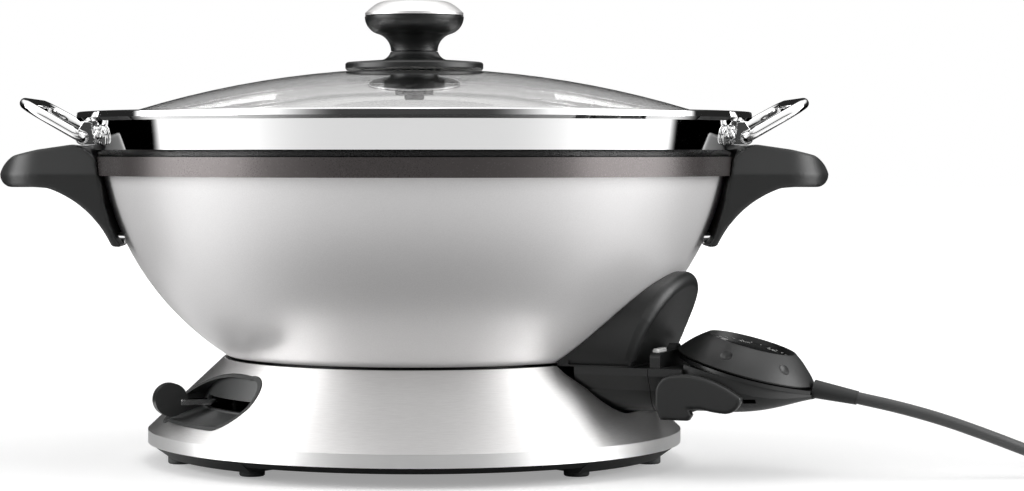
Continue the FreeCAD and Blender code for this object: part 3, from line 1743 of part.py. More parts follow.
def make_knob():
    boss_r = 8.8
    washer = new_body("knob_washer")
    low = dome_height(D.lid_bolt_r + 1)
    revolve(
        washer,
        [
            (D.lid_bolt_r, low),
            (boss_r, low),
            (boss_r, low + 0.8),
            (D.lid_bolt_r, low + 0.8),
        ],
    )
    keep(washer)

    vent = new_body("vent_dial")
    bottom = low + 0.5
    revolve(
        vent,
        [
            (boss_r + D.running_gap, bottom + 0.4),
            (18.0, bottom + 0.1),
            (D.vent_dial_r - 0.8, dome_height(D.vent_dial_r) + 0.5),
            (D.vent_dial_r, dome_height(D.vent_dial_r) + 1.6),
            (D.vent_dial_r, D.vent_dial_top - 1.1, 1.6),
            (D.vent_dial_r - 1.5, D.vent_dial_top),
            (19.2, D.vent_dial_top + 1.2, -6.4),
            (D.knob_neck_r + 0.4, D.knob_seam_z - 0.9),
            (D.knob_neck_r + 0.1, D.knob_seam_z - 0.4),
            (boss_r + D.running_gap, D.knob_seam_z - 0.4),
        ],
    )
    bore(
        vent,
        "XY_Plane",
        circles=[(D.vent_hole_x, 0, D.vent_hole_r), (-D.vent_hole_x, 0, D.vent_hole_r)],
    )
    keep(vent)

    # The neck's hollow curve and the round of the grip are two equal arcs that meet halfway.
    knob = new_body("knob_body")
    edge = D.knob_edge_z
    flare, rise = D.knob_r - D.knob_neck_r, edge - D.knob_seam_z
    bend = (flare * flare + rise * rise) / (flare * 4)
    revolve(
        knob,
        [
            (D.lid_bolt_r, low + 0.8),
            (boss_r, low + 0.8),
            (boss_r, D.knob_seam_z),
            (D.knob_neck_r, D.knob_seam_z, -bend),
            ((D.knob_neck_r + D.knob_r) / 2, (D.knob_seam_z + edge) / 2, bend),
            (D.knob_r, edge),
            (24.0, edge),
            (24.0, edge + 3.4),
            (D.lid_bolt_r, edge + 3.4),
        ],
    )
    keep(knob)

    cap = new_body("knob_cap")
    revolve(
        cap,
        [
            (24.0 + D.seat_gap, edge + 0.6),
            (D.knob_r - 0.2, edge + 0.6),
            (D.knob_r - 0.2, edge + 2.0, 40),
            (22.0, D.knob_top - 2.2, 12),
            (16.0, D.knob_top),
            (0, D.knob_top),
            (0, edge + 3.4),
            (24.0 + D.seat_gap, edge + 3.4),
        ],
    )
    keep(cap)

    under = dome_height(D.lid_bolt_r + 1, 4.0)
    seal = new_body("lid_seal_washer")
    revolve(
        seal,
        [
            (D.lid_bolt_r, under - 1.0),
            (D.clamp_r - 1.5, under - 1.0),
            (D.clamp_r - 1.5, dome_height(D.clamp_r - 1.5, 4.0)),
            (D.lid_bolt_r, dome_height(D.clamp_r - 1.5, 4.0)),
        ],
    )
    keep(seal)

    clamp = new_body("lid_clamp_ring")
    revolve(
        clamp,
        [
            (D.lid_bolt_r, D.clamp_low),
            (D.clamp_r - 1.2, D.clamp_low),
            (D.clamp_r, D.clamp_low + 1.2),
            (D.clamp_r, under - 1.0),
            (D.lid_bolt_r, under - 1.0),
        ],
    )
    keep(clamp)

    star = new_body("lid_star_nut")
    disc(star, 0, 0, D.star_r, D.clamp_low - D.star_low, level=D.star_low)
    tooth = bore(star, "XY_Plane", circles=[(D.star_r + 0.6, 0, 1.3)])
    ring_of(star, [tooth], 12)
    bore(star, "XY_Plane", circles=[(0, 0, D.lid_bolt_r)])
    keep(star)

    screw = new_body("lid_screw")
    revolve(
        screw,
        [
            (0, D.head_low),
            (D.head_r - 0.8, D.head_low),
            (D.head_r, D.head_low + 0.8),
            (D.head_r, D.star_low),
            (D.lid_bolt_r, D.star_low),
            (D.lid_bolt_r, D.knob_edge_z - 4),
            (0, D.knob_edge_z - 4),
        ],
    )
    keep(screw)


# ---- the whole wok -----------------------------------------------------------------------------


def make_all():
    make_pan()
    make_locking_foot()
    make_element()
    make_base_plate()
    make_feet()
    make_support_ring()
    make_base_screws()
    make_skirt()
    make_lever_bezel()
    make_lock()
    make_socket()
    make_hood()
    make_probe_shell()
    make_probe_neck()
    make_dial()
    make_release_lever()
    make_cord()
    keep_out = handle_clearance()
    for name, turn in (("right_handle", 0), ("left_handle", 180)):
        make_handle(name, turn, keep_out)
    make_handle_studs()
    tray_envelope = make_tray()
    make_brackets(tray_envelope)
    make_loop("right_loop_handle", 0)
    make_loop("left_loop_handle", 180)
    make_lid()
    make_knob()


def check_document():
    """Stop on any object that failed, and on any sub-part without a valid solid."""
    for item in document.Objects:
        if {"Invalid", "Error"} & set(item.State):
            raise RuntimeError(f"{item.Label} failed: {item.State}")
    for label, node in nodes.items():
        shape = node.Shape
        if shape.isNull() or not shape.isValid() or not shape.Solids:
            raise RuntimeError(f"{label} has no valid solid")


def export_nodes():
    os.makedirs("parts", exist_ok=True)
    for label, node in nodes.items():
        node.Shape.exportStep(os.path.join("parts", f"{label}.step"))
    print(f"{len(nodes)} sub-parts written")


make_all()
document.recompute()
check_document()
export_nodes()
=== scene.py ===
# %% [markdown]
# # Dressing an electric wok
#
# The wok arrives as a packed frame: 52 solids that already have their true sizes and joints. This
# lesson gives them the finishes of the real thing: satin coating, mirror steel, brushed steel,
# clear glass, grained plastic and rubber. It adds what solids are poor at, which is a cord that
# lies as cord does, printed numbers, and a small studio to look at it all in.

# %% Load the frame
import json
import math

import bmesh
import bpy
import numpy as np
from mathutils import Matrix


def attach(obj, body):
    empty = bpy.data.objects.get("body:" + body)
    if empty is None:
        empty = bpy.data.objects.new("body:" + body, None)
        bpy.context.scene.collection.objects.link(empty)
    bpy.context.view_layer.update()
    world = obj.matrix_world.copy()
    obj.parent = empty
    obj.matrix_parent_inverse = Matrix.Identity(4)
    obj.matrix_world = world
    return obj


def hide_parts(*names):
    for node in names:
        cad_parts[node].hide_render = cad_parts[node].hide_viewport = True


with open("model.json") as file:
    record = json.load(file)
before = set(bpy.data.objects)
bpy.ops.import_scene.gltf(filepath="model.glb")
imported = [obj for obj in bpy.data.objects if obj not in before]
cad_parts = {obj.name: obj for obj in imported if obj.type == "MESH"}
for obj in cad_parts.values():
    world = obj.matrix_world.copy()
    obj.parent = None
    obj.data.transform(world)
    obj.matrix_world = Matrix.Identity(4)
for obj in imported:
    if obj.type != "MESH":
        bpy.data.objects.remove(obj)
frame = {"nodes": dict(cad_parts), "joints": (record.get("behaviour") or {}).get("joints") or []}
nodes = frame["nodes"]
joints = {joint["name"]: joint for joint in frame["joints"]}
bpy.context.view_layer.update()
MM = 0.001

# %% [markdown]
# ## The camera
#
# A product picture is taken from far away with a long lens, so that the round rims stay thin
# ellipses. The camera stands 1.5 m in front, a little above the pan's rim, and looks down by two
# degrees. The wok stands left of the middle of the frame. A shifted lens does that without
# turning the camera, which would skew the rims.

# %% Place the camera
VIEW_DISTANCE = 1.525
VIEW_HEIGHT = 0.1696
LOOK_DOWN = math.radians(1.92)
lens = bpy.data.cameras.new("camera")
lens.sensor_width = 36
lens.lens = 96.4
lens.shift_x = 0.0954
camera = bpy.data.objects.new("camera", lens)
camera.location = (0, -VIEW_DISTANCE, VIEW_HEIGHT)
camera.rotation_euler = (math.pi / 2 - LOOK_DOWN, 0, 0)
bpy.context.scene.collection.objects.link(camera)
bpy.context.scene.camera = camera
print(f"camera at {VIEW_DISTANCE} m, lens {lens.lens} mm")

# %% [markdown]
# ## Shader sums that read like sums
#
# A finish on the real wok is mostly arithmetic: where the coating stops, how deep a brushed line
# is, how dull a wiped patch makes the steel. Such sums could be wired up by hand, node by node,
# but then nobody can read them. `Signal` wraps a socket instead, and its operators add the Math
# nodes, so a mask can be written as `height > 0.02`.

# %% Signals


class Signal:
    """One output socket. Sums with numbers or other signals add Math nodes to its tree."""

    def __init__(self, wiring, socket):
        self.wiring = wiring
        self.socket = socket

    def maths(self, operation, *terms):
        return self.wiring.add("ShaderNodeMath", dict(enumerate(terms)), operation=operation)

    def __add__(self, other):
        return self.maths("ADD", self, other)

    def __sub__(self, other):
        return self.maths("SUBTRACT", self, other)

    def __rsub__(self, other):
        return self.maths("SUBTRACT", other, self)

    def __mul__(self, other):
        return self.maths("MULTIPLY", self, other)

    def __truediv__(self, other):
        return self.maths("DIVIDE", self, other)

    def __pow__(self, other):
        return self.maths("POWER", self, other)

    def __gt__(self, other):
        return self.maths("GREATER_THAN", self, other)

    def __lt__(self, other):
        return self.maths("LESS_THAN", self, other)

    def step(self, low, high):
        """0 below low, 1 above high, and a smooth slope between them."""
        values = {"Value": self, "From Min": low, "From Max": high}
        return self.wiring.add("ShaderNodeMapRange", values, interpolation_type="SMOOTHSTEP")

    __radd__ = __add__
    __rmul__ = __mul__


print("a signal knows + - * / ** > < and step")

# %% [markdown]
# `Wiring` adds nodes to one tree, which is a material's or the room's. Its `add` makes any node
# from its type, its settings and the values or links of its sockets. The rest are the few
# patterns that the finishes share. All of them read Object coordinates, in metres, so that a
# grain has the same size on every piece and stays put when the piece moves.

# %% Wiring


class Wiring:
    """Adds nodes to one node tree."""

    def __init__(self, tree):
        self.tree = tree

    def feed(self, socket, value):
        if isinstance(value, Signal):
            self.tree.links.new(value.socket, socket)
        elif isinstance(value, tuple) and len(socket.default_value) == 4:
            socket.default_value = (*value[:3], 1)
        else:
            socket.default_value = value

    def add(self, kind, values, output=0, **settings):
        """A node of that kind: settings first, then values or links. Returns one output."""
        node = self.tree.nodes.new(kind)
        for name, value in settings.items():
            setattr(node, name, value)
        for name, value in values.items():
            self.feed(node.inputs[name], value)
        return Signal(self, node.outputs[output])

    def place(self, scale=(1, 1, 1)):
        """Object coordinates in metres, times scale, so that a large scale squeezes a pattern."""
        spot = self.add("ShaderNodeTexCoord", {}, output="Object")
        if scale == (1, 1, 1):
            return spot
        return self.add("ShaderNodeMapping", {"Vector": spot, "Scale": scale})

    def parts(self, spot):
        """The x, y and z of a vector."""
        return [self.add("ShaderNodeSeparateXYZ", {"Vector": spot}, output=i) for i in range(3)]

    def axes(self):
        """The x, y and z of the object coordinates, and the distance from the z axis."""
        x, y, z = self.parts(self.place())
        return x, y, z, (x * x + y * y) ** 0.5

    def ray(self, kind):
        """1 for rays of that kind, such as Camera or Glossy, and 0 for all others."""
        return self.add("ShaderNodeLightPath", {}, output=f"Is {kind} Ray")

    def noise(self, where, size, detail=2.0, rough=0.5):
        """Cloudy noise from 0 to 1 whose blotches are about size metres across."""
        values = {"Vector": where, "Scale": 1 / size, "Detail": detail, "Roughness": rough}
        return self.add("ShaderNodeTexNoise", values)

    def mix(self, factor, first, second):
        """first where factor is 0, second where it is 1; both are colours."""
        values = {0: factor, 6: first, 7: second}
        return self.add("ShaderNodeMix", values, output=2, data_type="RGBA")

    def bump(self, height, depth):
        """Turns a 0 to 1 height into relief that is depth metres deep."""
        values = {"Height": height, "Distance": depth, "Strength": 1.0}
        return self.add("ShaderNodeBump", values, output="Normal")


print("wiring has", ", ".join(name for name in vars(Wiring) if name[0] != "_"))

# %% [markdown]
# `Finish` is the wiring of one material around a Principled shader, and `wear` puts it on a
# solid. The solid keeps its mesh, because its shape is already true.

# %% Finish


class Finish(Wiring):
    """One material around a Principled shader."""

    def __init__(self, name, **sockets):
        self.material = bpy.data.materials.new(name)
        self.material.use_nodes = True
        super().__init__(self.material.node_tree)
        self.shader = self.tree.nodes["Principled BSDF"]
        self.set(**sockets)

    def set(self, **sockets):
        """Base_Color=... feeds the shader's socket of that name, written with underscores."""
        for name, value in sockets.items():
            self.feed(self.shader.inputs[name.replace("_", " ")], value)


def wear(finish, *names):
    """Gives solids, which keep their shape, a new material."""
    for name in names:
        mesh = nodes[name].data
        mesh.materials.clear()
        mesh.materials.append(finish.material)
    print(f"{finish.material.name}: {', '.join(names)}")


# %% [markdown]
# ## Moulded edges
#
# A mould has no sharp edges, because plastic would tear there, and pressed sheet is tumbled until
# it is safe to touch. Solids with such edges get a copy. A solid is a heap of loose triangles, so
# the copy's doubled corners are merged first. Then it is cut again into small even faces, and
# evening those out a few times wears every edge round by about the size of a face. A Bevel would
# need clean edges, which a merged solid doesn't have. The copy then stands for its solid.

# %% Copies with round edges


def close_up(mesh):
    """Merges doubled corners, turns all faces outwards and shades them smooth."""
    shell = bmesh.new()
    shell.from_mesh(mesh)
    bmesh.ops.remove_doubles(shell, verts=shell.verts, dist=1e-7)
    bmesh.ops.recalc_face_normals(shell, faces=shell.faces)
    shell.to_mesh(mesh)
    shell.free()
    mesh.polygons.foreach_set("use_smooth", np.ones(len(mesh.polygons), bool))


def rounded_copy(name, body, face, passes, finish):
    """A copy of a solid with faces of about that size, evened out that many times."""
    rough = bpy.data.objects.new(f"{name}_rough", nodes[name].data.copy())
    bpy.context.scene.collection.objects.link(rough)
    close_up(rough.data)
    remesh = rough.modifiers.new("even_faces", "REMESH")
    remesh.mode = "VOXEL"
    remesh.voxel_size = face
    remesh.use_smooth_shade = True
    smooth = rough.modifiers.new("round_edges", "SMOOTH")
    smooth.factor = 0.5
    smooth.iterations = passes
    graph = bpy.context.evaluated_depsgraph_get()
    mesh = bpy.data.meshes.new_from_object(rough.evaluated_get(graph))
    bpy.data.objects.remove(rough)
    mesh.name = f"{name}_rounded"
    mesh.materials.clear()
    mesh.materials.append(finish.material)
    piece = bpy.data.objects.new(mesh.name, mesh)
    bpy.context.scene.collection.objects.link(piece)
    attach(piece, body)
    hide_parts(name)
    print(f"{mesh.name}: {len(mesh.polygons)} faces")
    return piece


# %% [markdown]
# ## The cord
#
# The lead is 6.4 mm thick, medium stiff, and 0.9 m long. It leaves the probe through a tapered
# strain relief, sinks to the table in one lazy curve, and is then wound up into a flat coil of
# two layers, which is how such a lead is put away. The plug lies on the coil. The whole line is
# one NURBS spline. Its control points are the route's points, then points set on circles for the
# turns.

# %% Route and coil
CORD_DIAMETER = 6.4 * MM
ROUTE_MM = [
    (210.4, -85.0, 45.9),
    (220.5, -88.6, 44.3),
    (232.0, -92.6, 41.7),
    (252.0, -97.4, 37.6),
    (276.0, -99.4, 31.0),
    (301.0, -98.0, 22.0),
    (325.0, -94.6, 12.6),
    (347.0, -91.0, 6.2),
    (364.0, -89.3, 4.0),
    (378.0, -88.9, 3.5),
]
COIL_CENTRE_MM = (393.0, -50.0)


def winding():
    """Points of the coil in mm, 15 degrees apart.

    x = centre + radius times the angle's cosine, y = centre + radius times its sine. The radius and
    the height are straight lines between the knots, which are (angle, radius, height).

    Two turns lie on the table, the second inside the first, and the rest lies on top of them, from
    the inside out. The end climbs to the back of the plug.
    """
    turns = [(-96, 39.3, 3.4), (230, 39.2, 3.4), (290, 32.6, 3.4), (560, 32.4, 3.4)]
    turns += [(620, 32.4, 9.8), (900, 32.6, 9.8), (960, 38.6, 9.8), (1005, 39.0, 9.8)]
    turns += [(1022, 38.6, 13.2), (1040, 37.6, 19.0)]
    knots = np.array(turns, float)
    angles = np.arange(-96, 1041, 15.0)
    radius = np.interp(angles, knots[:, 0], knots[:, 1])
    height = np.interp(angles, knots[:, 0], knots[:, 2])
    spin = np.radians(angles)
    x = COIL_CENTRE_MM[0] + radius * np.cos(spin)
    y = COIL_CENTRE_MM[1] + radius * np.sin(spin)
    return np.stack([x, y, height], 1).tolist()


PLUG_ENTRY_MM = [(426.0, -70.0, 22.0), (426.0, -62.0, 22.2)]


def cord_line(name, points_mm, radius):
    """A NURBS curve of order 3 through the pull of its control points, with a round section."""
    curve = bpy.data.curves.new(name, "CURVE")
    curve.dimensions = "3D"
    spline = curve.splines.new("NURBS")
    spline.points.add(len(points_mm) - 1)
    for point, spot in zip(spline.points, points_mm):
        point.co = (*(value * MM for value in spot), 1)
    spline.order_u = 3
    spline.use_endpoint_u = True
    spline.resolution_u = 8
    curve.bevel_depth = radius
    curve.bevel_resolution = 5
    curve.use_fill_caps = True
    piece = bpy.data.objects.new(name, curve)
    bpy.context.scene.collection.objects.link(piece)
    return piece


cord = cord_line("power_cord", ROUTE_MM + winding() + PLUG_ENTRY_MM, CORD_DIAMETER / 2)
print(f"cord of {len(cord.data.splines[0].points)} points")

# %% [markdown]
# ## Finishes
#
# ### The pan's coatings
#
# The pan is one casting with two coatings. Outside it has a pale satin paint with metal flakes,
# and the rim and the inside have dark non-stick. One material covers both, since two would need
# the mesh to be cut in two. The outer wall is an arc, so a point's distance from the arc's centre
# says which side of the wall it is on. The rim's top is painted near black, as painted shade of
# the gap under the tray's ledge.

# %% Pan coating
ARC_CENTRE_R = 22.05 * MM
ARC_CENTRE_Z = 188.69 * MM
INSIDE_REACH = 152.5 * MM
SHOULDER_Z = 157.6 * MM
RIM_TOP_Z = 168.1 * MM


def pan_finish():
    """Pale where the reach from the arc's centre is past the wall's middle, dark elsewhere.

    reach = square root of (across - centre r) squared + (z - centre z) squared.
    """
    finish = Finish("pan_coating")
    _, _, z, across = finish.axes()
    reach = ((across - ARC_CENTRE_R) ** 2 + (z - ARC_CENTRE_Z) ** 2) ** 0.5
    coat = (reach > INSIDE_REACH) * (z < SHOULDER_Z)
    flakes = finish.noise(finish.place(), 0.0007, 2.0, 0.6)
    clouds = finish.noise(finish.place(), 0.05, 2.0)
    speck = finish.noise(finish.place(), 0.0009, 1.0).step(0.60, 0.72)
    pale = finish.mix(flakes, (0.76, 0.75, 0.75), (0.88, 0.87, 0.87))
    dark = finish.mix(speck, (0.098, 0.088, 0.087), (0.130, 0.118, 0.117))
    dull = coat * 0.12 + clouds * 0.05 + flakes * 0.04 + 0.23
    metal = 0.65 - coat * 0.30
    skin = finish.bump(flakes, 0.000018)
    # painted shade: the rim's top turns near black, for the shadowed gap under the tray's ledge
    painted_tray_shade = z.step(RIM_TOP_Z - 0.5 * MM, RIM_TOP_Z - 0.2 * MM)
    dark = finish.mix(painted_tray_shade, dark, (0.012, 0.012, 0.012))
    finish.set(Base_Color=finish.mix(coat, dark, pale), Roughness=dull, Metallic=metal, Normal=skin)
    return finish


wear(pan_finish(), "wok_pan")

# %% [markdown]
# ### Steel, three ways
#
# Brushed steel has fine lines all around the base, left by a belt held against it while it
# turned. The lines are noise that is squeezed in height and drawn out along the surface. They are
# relief, so they catch the light, where a painted line wouldn't. The upright band below is painted
# paler, a painted highlight for the shine that band catches.
# Mirror steel only has the faint waviness of a pressed sheet and a few wipe marks. Plain steel is
# for screws, pins and the element.

# %% Steel finishes
BRUSH_LINE = 0.00022
BAND_TOP = 18 * MM


def brushed_finish(name, pull):
    """Lines BRUSH_LINE metres high; pull is how far they stretch the light, from 0 to 1."""
    finish = Finish(name, Metallic=1.0, Anisotropic=pull, Anisotropic_Rotation=0.25)
    z = finish.axes()[2]
    coarse = finish.noise(finish.place((1, 1, 30)), BRUSH_LINE * 30, 4.0, 0.65)
    fine = finish.noise(finish.place((1, 1, 60)), BRUSH_LINE * 20, 2.0, 0.7)
    wipes = finish.noise(finish.place(), 0.06, 2.0)
    tone = finish.mix(coarse, (0.66, 0.65, 0.645), (0.86, 0.855, 0.85))
    # painted highlight: below BAND_TOP the upright band gets paler colours, for the shine it
    # catches
    painted_highlight = finish.mix(coarse, (0.90, 0.895, 0.89), (0.99, 0.99, 0.985))
    tone = finish.mix(z.step(BAND_TOP, BAND_TOP - 0.5 * MM), tone, painted_highlight)
    grain = finish.bump(coarse * 0.6 + fine * 0.4, 0.00006)
    finish.set(Base_Color=tone, Roughness=fine * 0.10 + wipes * 0.06 + 0.38, Normal=grain)
    return finish


def mirror_finish(name, dull):
    finish = Finish(name, Metallic=1.0, Base_Color=(0.90, 0.90, 0.90))
    waves = finish.noise(finish.place(), 0.035, 1.0)
    wipes = finish.noise(finish.place((1, 1, 3)), 0.012, 5.0, 0.7).step(0.45, 0.8)
    finish.set(Roughness=wipes * 0.05 + dull, Normal=finish.bump(waves, 0.00004))
    return finish


def plain_steel(name, shade, dull):
    finish = Finish(name, Metallic=1.0)
    pores = finish.noise(finish.place(), 0.0015, 4.0, 0.7)
    tone = finish.mix(pores, tuple(value * 0.8 for value in shade), shade)
    finish.set(Base_Color=tone, Roughness=pores * 0.14 + dull, Normal=finish.bump(pores, 0.00001))
    return finish


print("steel finishes are ready")

# %% Steel pieces
wire = mirror_finish("bright_wire", 0.05)
loops = ("right_loop_handle", "left_loop_handle", "lock_lever_arm")
wear(brushed_finish("brushed_steel", 0.85), "base_skirt")
wear(brushed_finish("cap_steel", 0.3), "knob_cap")
wear(mirror_finish("polished_steel", 0.035), "steamer_tray", "lid_rim_band")
wear(wire, "tray_brackets", "bracket_rivets", "handle_studs", *loops)
plated = plain_steel("plated_screws", (0.62, 0.60, 0.56), 0.22)
wear(plated, "base_screws", "dial_shaft", "lever_pin")
wear(plain_steel("dark_screw", (0.10, 0.10, 0.10), 0.26), "lid_screw")
wear(plain_steel("element_steel", (0.30, 0.27, 0.25), 0.42), "heating_element")
for name in ("terminal_pins", "contact_tubes", "plug_blades", "sensor_rod", "sensor_sleeve"):
    wear(plain_steel(f"{name}_metal", (0.72, 0.66, 0.52), 0.24), name)

# %% [markdown]
# ### Plastics
#
# The handles, the hood and the probe are the same black plastic, moulded in tools with an etched
# grain. The grain is what makes a broad, soft shine out of a black surface, so it is relief and
# the roughness follows it. The knob, the neck, the lock and the paddle of its lever come out of
# smoother tools, and only the dial's top is polished.

# %% Plastic finishes


def moulded_finish(name, shade, dull, grain=0.00055, depth=0.000012):
    """Black of that shade with pebbles grain metres across and depth metres deep."""
    finish = Finish(name, Specular_IOR_Level=0.5)
    pebbles = finish.noise(finish.place(), grain, 2.0, 0.55)
    clouds = finish.noise(finish.place(), 0.02, 3.0)
    low = (shade * 0.82, shade * 0.86, shade * 0.86)
    high = (shade * 1.15, shade * 1.22, shade * 1.2)
    finish.set(
        Base_Color=finish.mix(clouds * 0.6 + pebbles * 0.4, low, high),
        Roughness=pebbles * 0.12 + clouds * 0.05 + dull,
        Normal=finish.bump(pebbles, depth),
    )
    return finish


print("plastic finishes are ready")

# %% Plastic pieces
grained = moulded_finish("black_moulding", 0.008, 0.34)
smooth = moulded_finish("smooth_black", 0.009, 0.26, 0.0009, 0.000008)
handles = ("right_handle", "left_handle")
wear(grained, *handles, "probe_hood", "probe_shell", "dial_knob", "release_lever")
wear(smooth, "knob_body", "vent_dial", "lid_star_nut", "lid_clamp_ring")
wear(smooth, "support_ring", "lock_ring", "lock_lever_paddle", "locking_foot")
wear(smooth, "socket_housing", "probe_neck", "probe_deck", "thermostat_body", "plug_body")
wear(moulded_finish("gloss_black", 0.010, 0.03, 0.004, 0.00001), "dial_face")
wear(moulded_finish("plate_black", 0.030, 0.46), "base_plate")
wear(moulded_finish("bezel_black", 0.024, 0.36), "lever_bezel")

# %% Rubber, silicone and ceramic pieces
wear(moulded_finish("foot_rubber", 0.055, 0.62, 0.0008, 0.00008), "rubber_feet")
wear(moulded_finish("relief_rubber", 0.016, 0.45), "strain_relief")
wear(moulded_finish("silicone", 0.07, 0.5), "lid_seal_washer")
wear(moulded_finish("silicone_washer", 0.05, 0.5), "knob_washer")
wear(moulded_finish("ceramic", 0.62, 0.42, 0.0005, 0.00003), "terminal_block")

# %% Pieces with worn edges
for name in handles:
    rounded_copy(name, "wok", 0.9 * MM, 8, grained)
rounded_copy("release_lever", "release", 0.45 * MM, 8, grained)
plug = rounded_copy("plug_body", "probe", 0.6 * MM, 8, smooth)
rounded_copy("tray_brackets", "steamer", 0.26 * MM, 4, wire)

# %% [markdown]
# ### The cord's cover
#
# The cover is soft PVC with a low sheen, fine pores and a shade that is faintly uneven. A pattern
# along the cord would need the tube's own UV map. Pores and clouds have no direction, so Object
# coordinates do.

# %% Cord cover


def cord_finish():
    finish = Finish("cord_pvc")
    pores = finish.noise(finish.place(), 0.0012, 3.0, 0.6)
    clouds = finish.noise(finish.place(), 0.018, 2.0)
    finish.set(
        Base_Color=finish.mix(clouds, (0.040, 0.041, 0.041), (0.062, 0.063, 0.063)),
        Roughness=pores * 0.15 + 0.38,
        Normal=finish.bump(pores, 0.00003),
    )
    return finish


cord.data.materials.append(cord_finish().material)
print(f"{cord.data.materials[0].name}: {cord.name}")

# %% [markdown]
# ### Glass
#
# The dome is 4 mm of clear tempered glass. It is polished, so nothing varies over it. A lamp's
# light would have to bend through two surfaces to reach the tray below, which a path tracer finds
# slowly, so shadow rays see a faint tint instead. The heating light's lens is frosted plastic,
# which is cloudy inside.

# %% Glass


def glass_finish():
    """Clear for shadow rays, glass for all others. A low index keeps its mirror image faint."""
    finish = Finish("lid_glass", Transmission_Weight=1.0, Roughness=0.0, IOR=1.4)
    finish.set(Base_Color=(0.985, 0.983, 0.980))
    clear = finish.add("ShaderNodeBsdfTransparent", {"Color": (0.86, 0.87, 0.865)})
    body = Signal(finish, finish.shader.outputs[0])
    both = finish.add("ShaderNodeMixShader", {0: finish.ray("Shadow"), 1: body, 2: clear})
    finish.tree.links.new(both.socket, finish.tree.nodes["Material Output"].inputs["Surface"])
    return finish


def lens_finish():
    finish = Finish("light_lens", Transmission_Weight=0.25, Roughness=0.12, IOR=1.49)
    clouds = finish.noise(finish.place(), 0.003, 2.0)
    finish.set(Base_Color=finish.mix(clouds, (0.78, 0.78, 0.76), (0.88, 0.88, 0.87)))
    return finish


wear(glass_finish(), "lid_glass")
wear(lens_finish(), "heating_light")

# %% [markdown]
# ## What rides on what
#
# The cord belongs to the probe, which slides out of the socket and takes its cord with it.

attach(cord, "probe")
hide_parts("cord_tube", "cord_coil")

# %% [markdown]
# ## Numbers on the dial
#
# The dial's sunk face carries a printed scale. Print could be a pattern in the face's material,
# but letters come out sharp only as shapes. So each number is set in the built-in font, laid flat
# on the face and turned so that its top points outwards. Short strokes stand between the numbers.

# %% Letters and strokes
DIAL_AXIS = np.array(joints["dial_turn"]["axis"], float)
DIAL_CENTRE = np.array(joints["dial_turn"]["pos_m"], float)
FACE_RISE = 11.34 * MM
NUMBER_RING = 15.2 * MM
NUMBER_SIZE = 4.4 * MM
NUMBERS = {turn: f"{200 + 50 * step}" for step, turn in enumerate(range(120, -121, -60))}
STROKE_RING = (18.6 * MM, 20.4 * MM)
STROKE_HALF = 0.26 * MM


def dial_frame():
    """The face's own axes as columns: one level, one up the slope, and the dial's axis."""
    level = np.cross([0, 0, 1], DIAL_AXIS)
    level /= np.linalg.norm(level)
    return np.stack([level, np.cross(DIAL_AXIS, level), DIAL_AXIS], 1)


def letters(text, size):
    """Flat corners and faces of a text in the built-in font, centred on the origin."""
    line = bpy.data.curves.new(f"number_{text}", "FONT")
    line.body, line.size = text, size
    line.align_x, line.align_y = "CENTER", "CENTER"
    holder = bpy.data.objects.new(line.name, line)
    mesh = bpy.data.meshes.new_from_object(holder)
    corners = np.array([spot.co for spot in mesh.vertices])
    faces = [list(face.vertices) for face in mesh.polygons]
    bpy.data.objects.remove(holder)
    return corners, faces


def stroke(inner, outer, half):
    """A flat bar along the radius, as corners and one face."""
    corners = [(-half, inner, 0), (half, inner, 0), (half, outer, 0), (-half, outer, 0)]
    return np.array(corners), [[0, 1, 2, 3]]


print(f"dial centre {np.round(DIAL_CENTRE, 4).tolist()}, numbers {', '.join(NUMBERS.values())}")

# %% Printed scale


def printed_scale():
    """Strokes 15 degrees apart and the numbers, each turned about the dial's axis to its place."""
    corners, faces = [], []
    for turn in range(-150, 181, 15):
        marks = [stroke(*STROKE_RING, STROKE_HALF)]
        if turn in NUMBERS:
            flat, shapes = letters(NUMBERS[turn], NUMBER_SIZE)
            marks.append((flat + (0, NUMBER_RING, 0), shapes))
        swing = math.radians(turn)
        cos, sin = math.cos(swing), math.sin(swing)
        spin = np.array([(cos, -sin, 0), (sin, cos, 0), (0, 0, 1)])
        for flat, shapes in marks:
            first = sum(len(block) for block in corners)
            corners.append(flat @ spin.T)
            faces += [[first + index for index in shape] for shape in shapes]
    laid = np.vstack(corners) + (0, 0, FACE_RISE)
    mesh = bpy.data.meshes.new("dial_scale")
    mesh.from_pydata((laid @ dial_frame().T + DIAL_CENTRE).tolist(), [], faces)
    piece = bpy.data.objects.new("dial_scale", mesh)
    bpy.context.scene.collection.objects.link(piece)
    return piece


def print_finish():
    finish = Finish("white_print", Specular_IOR_Level=0.4)
    pores = finish.noise(finish.place(), 0.0004, 2.0)
    shade = finish.mix(pores, (0.62, 0.62, 0.61), (0.80, 0.80, 0.79))
    finish.set(Base_Color=shade, Roughness=pores * 0.1 + 0.45)
    return finish


scale = printed_scale()
scale.data.materials.append(print_finish().material)
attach(scale, "dial")
print(f"{scale.name}: {len(scale.data.polygons)} faces, rides on the dial")

# %% [markdown]
# ## The studio
#
# Steel and glass look like what stands around them, so the studio is part of the finish. The room
# is the world, as seen by mirrors: `heading` says how far round a direction is, from 1 straight
# in front of the wok to -1 straight behind it, and each zone of the room fades in between two
# headings or two heights. A room of real walls and cards could do the same, but it would take far
# longer to set up.

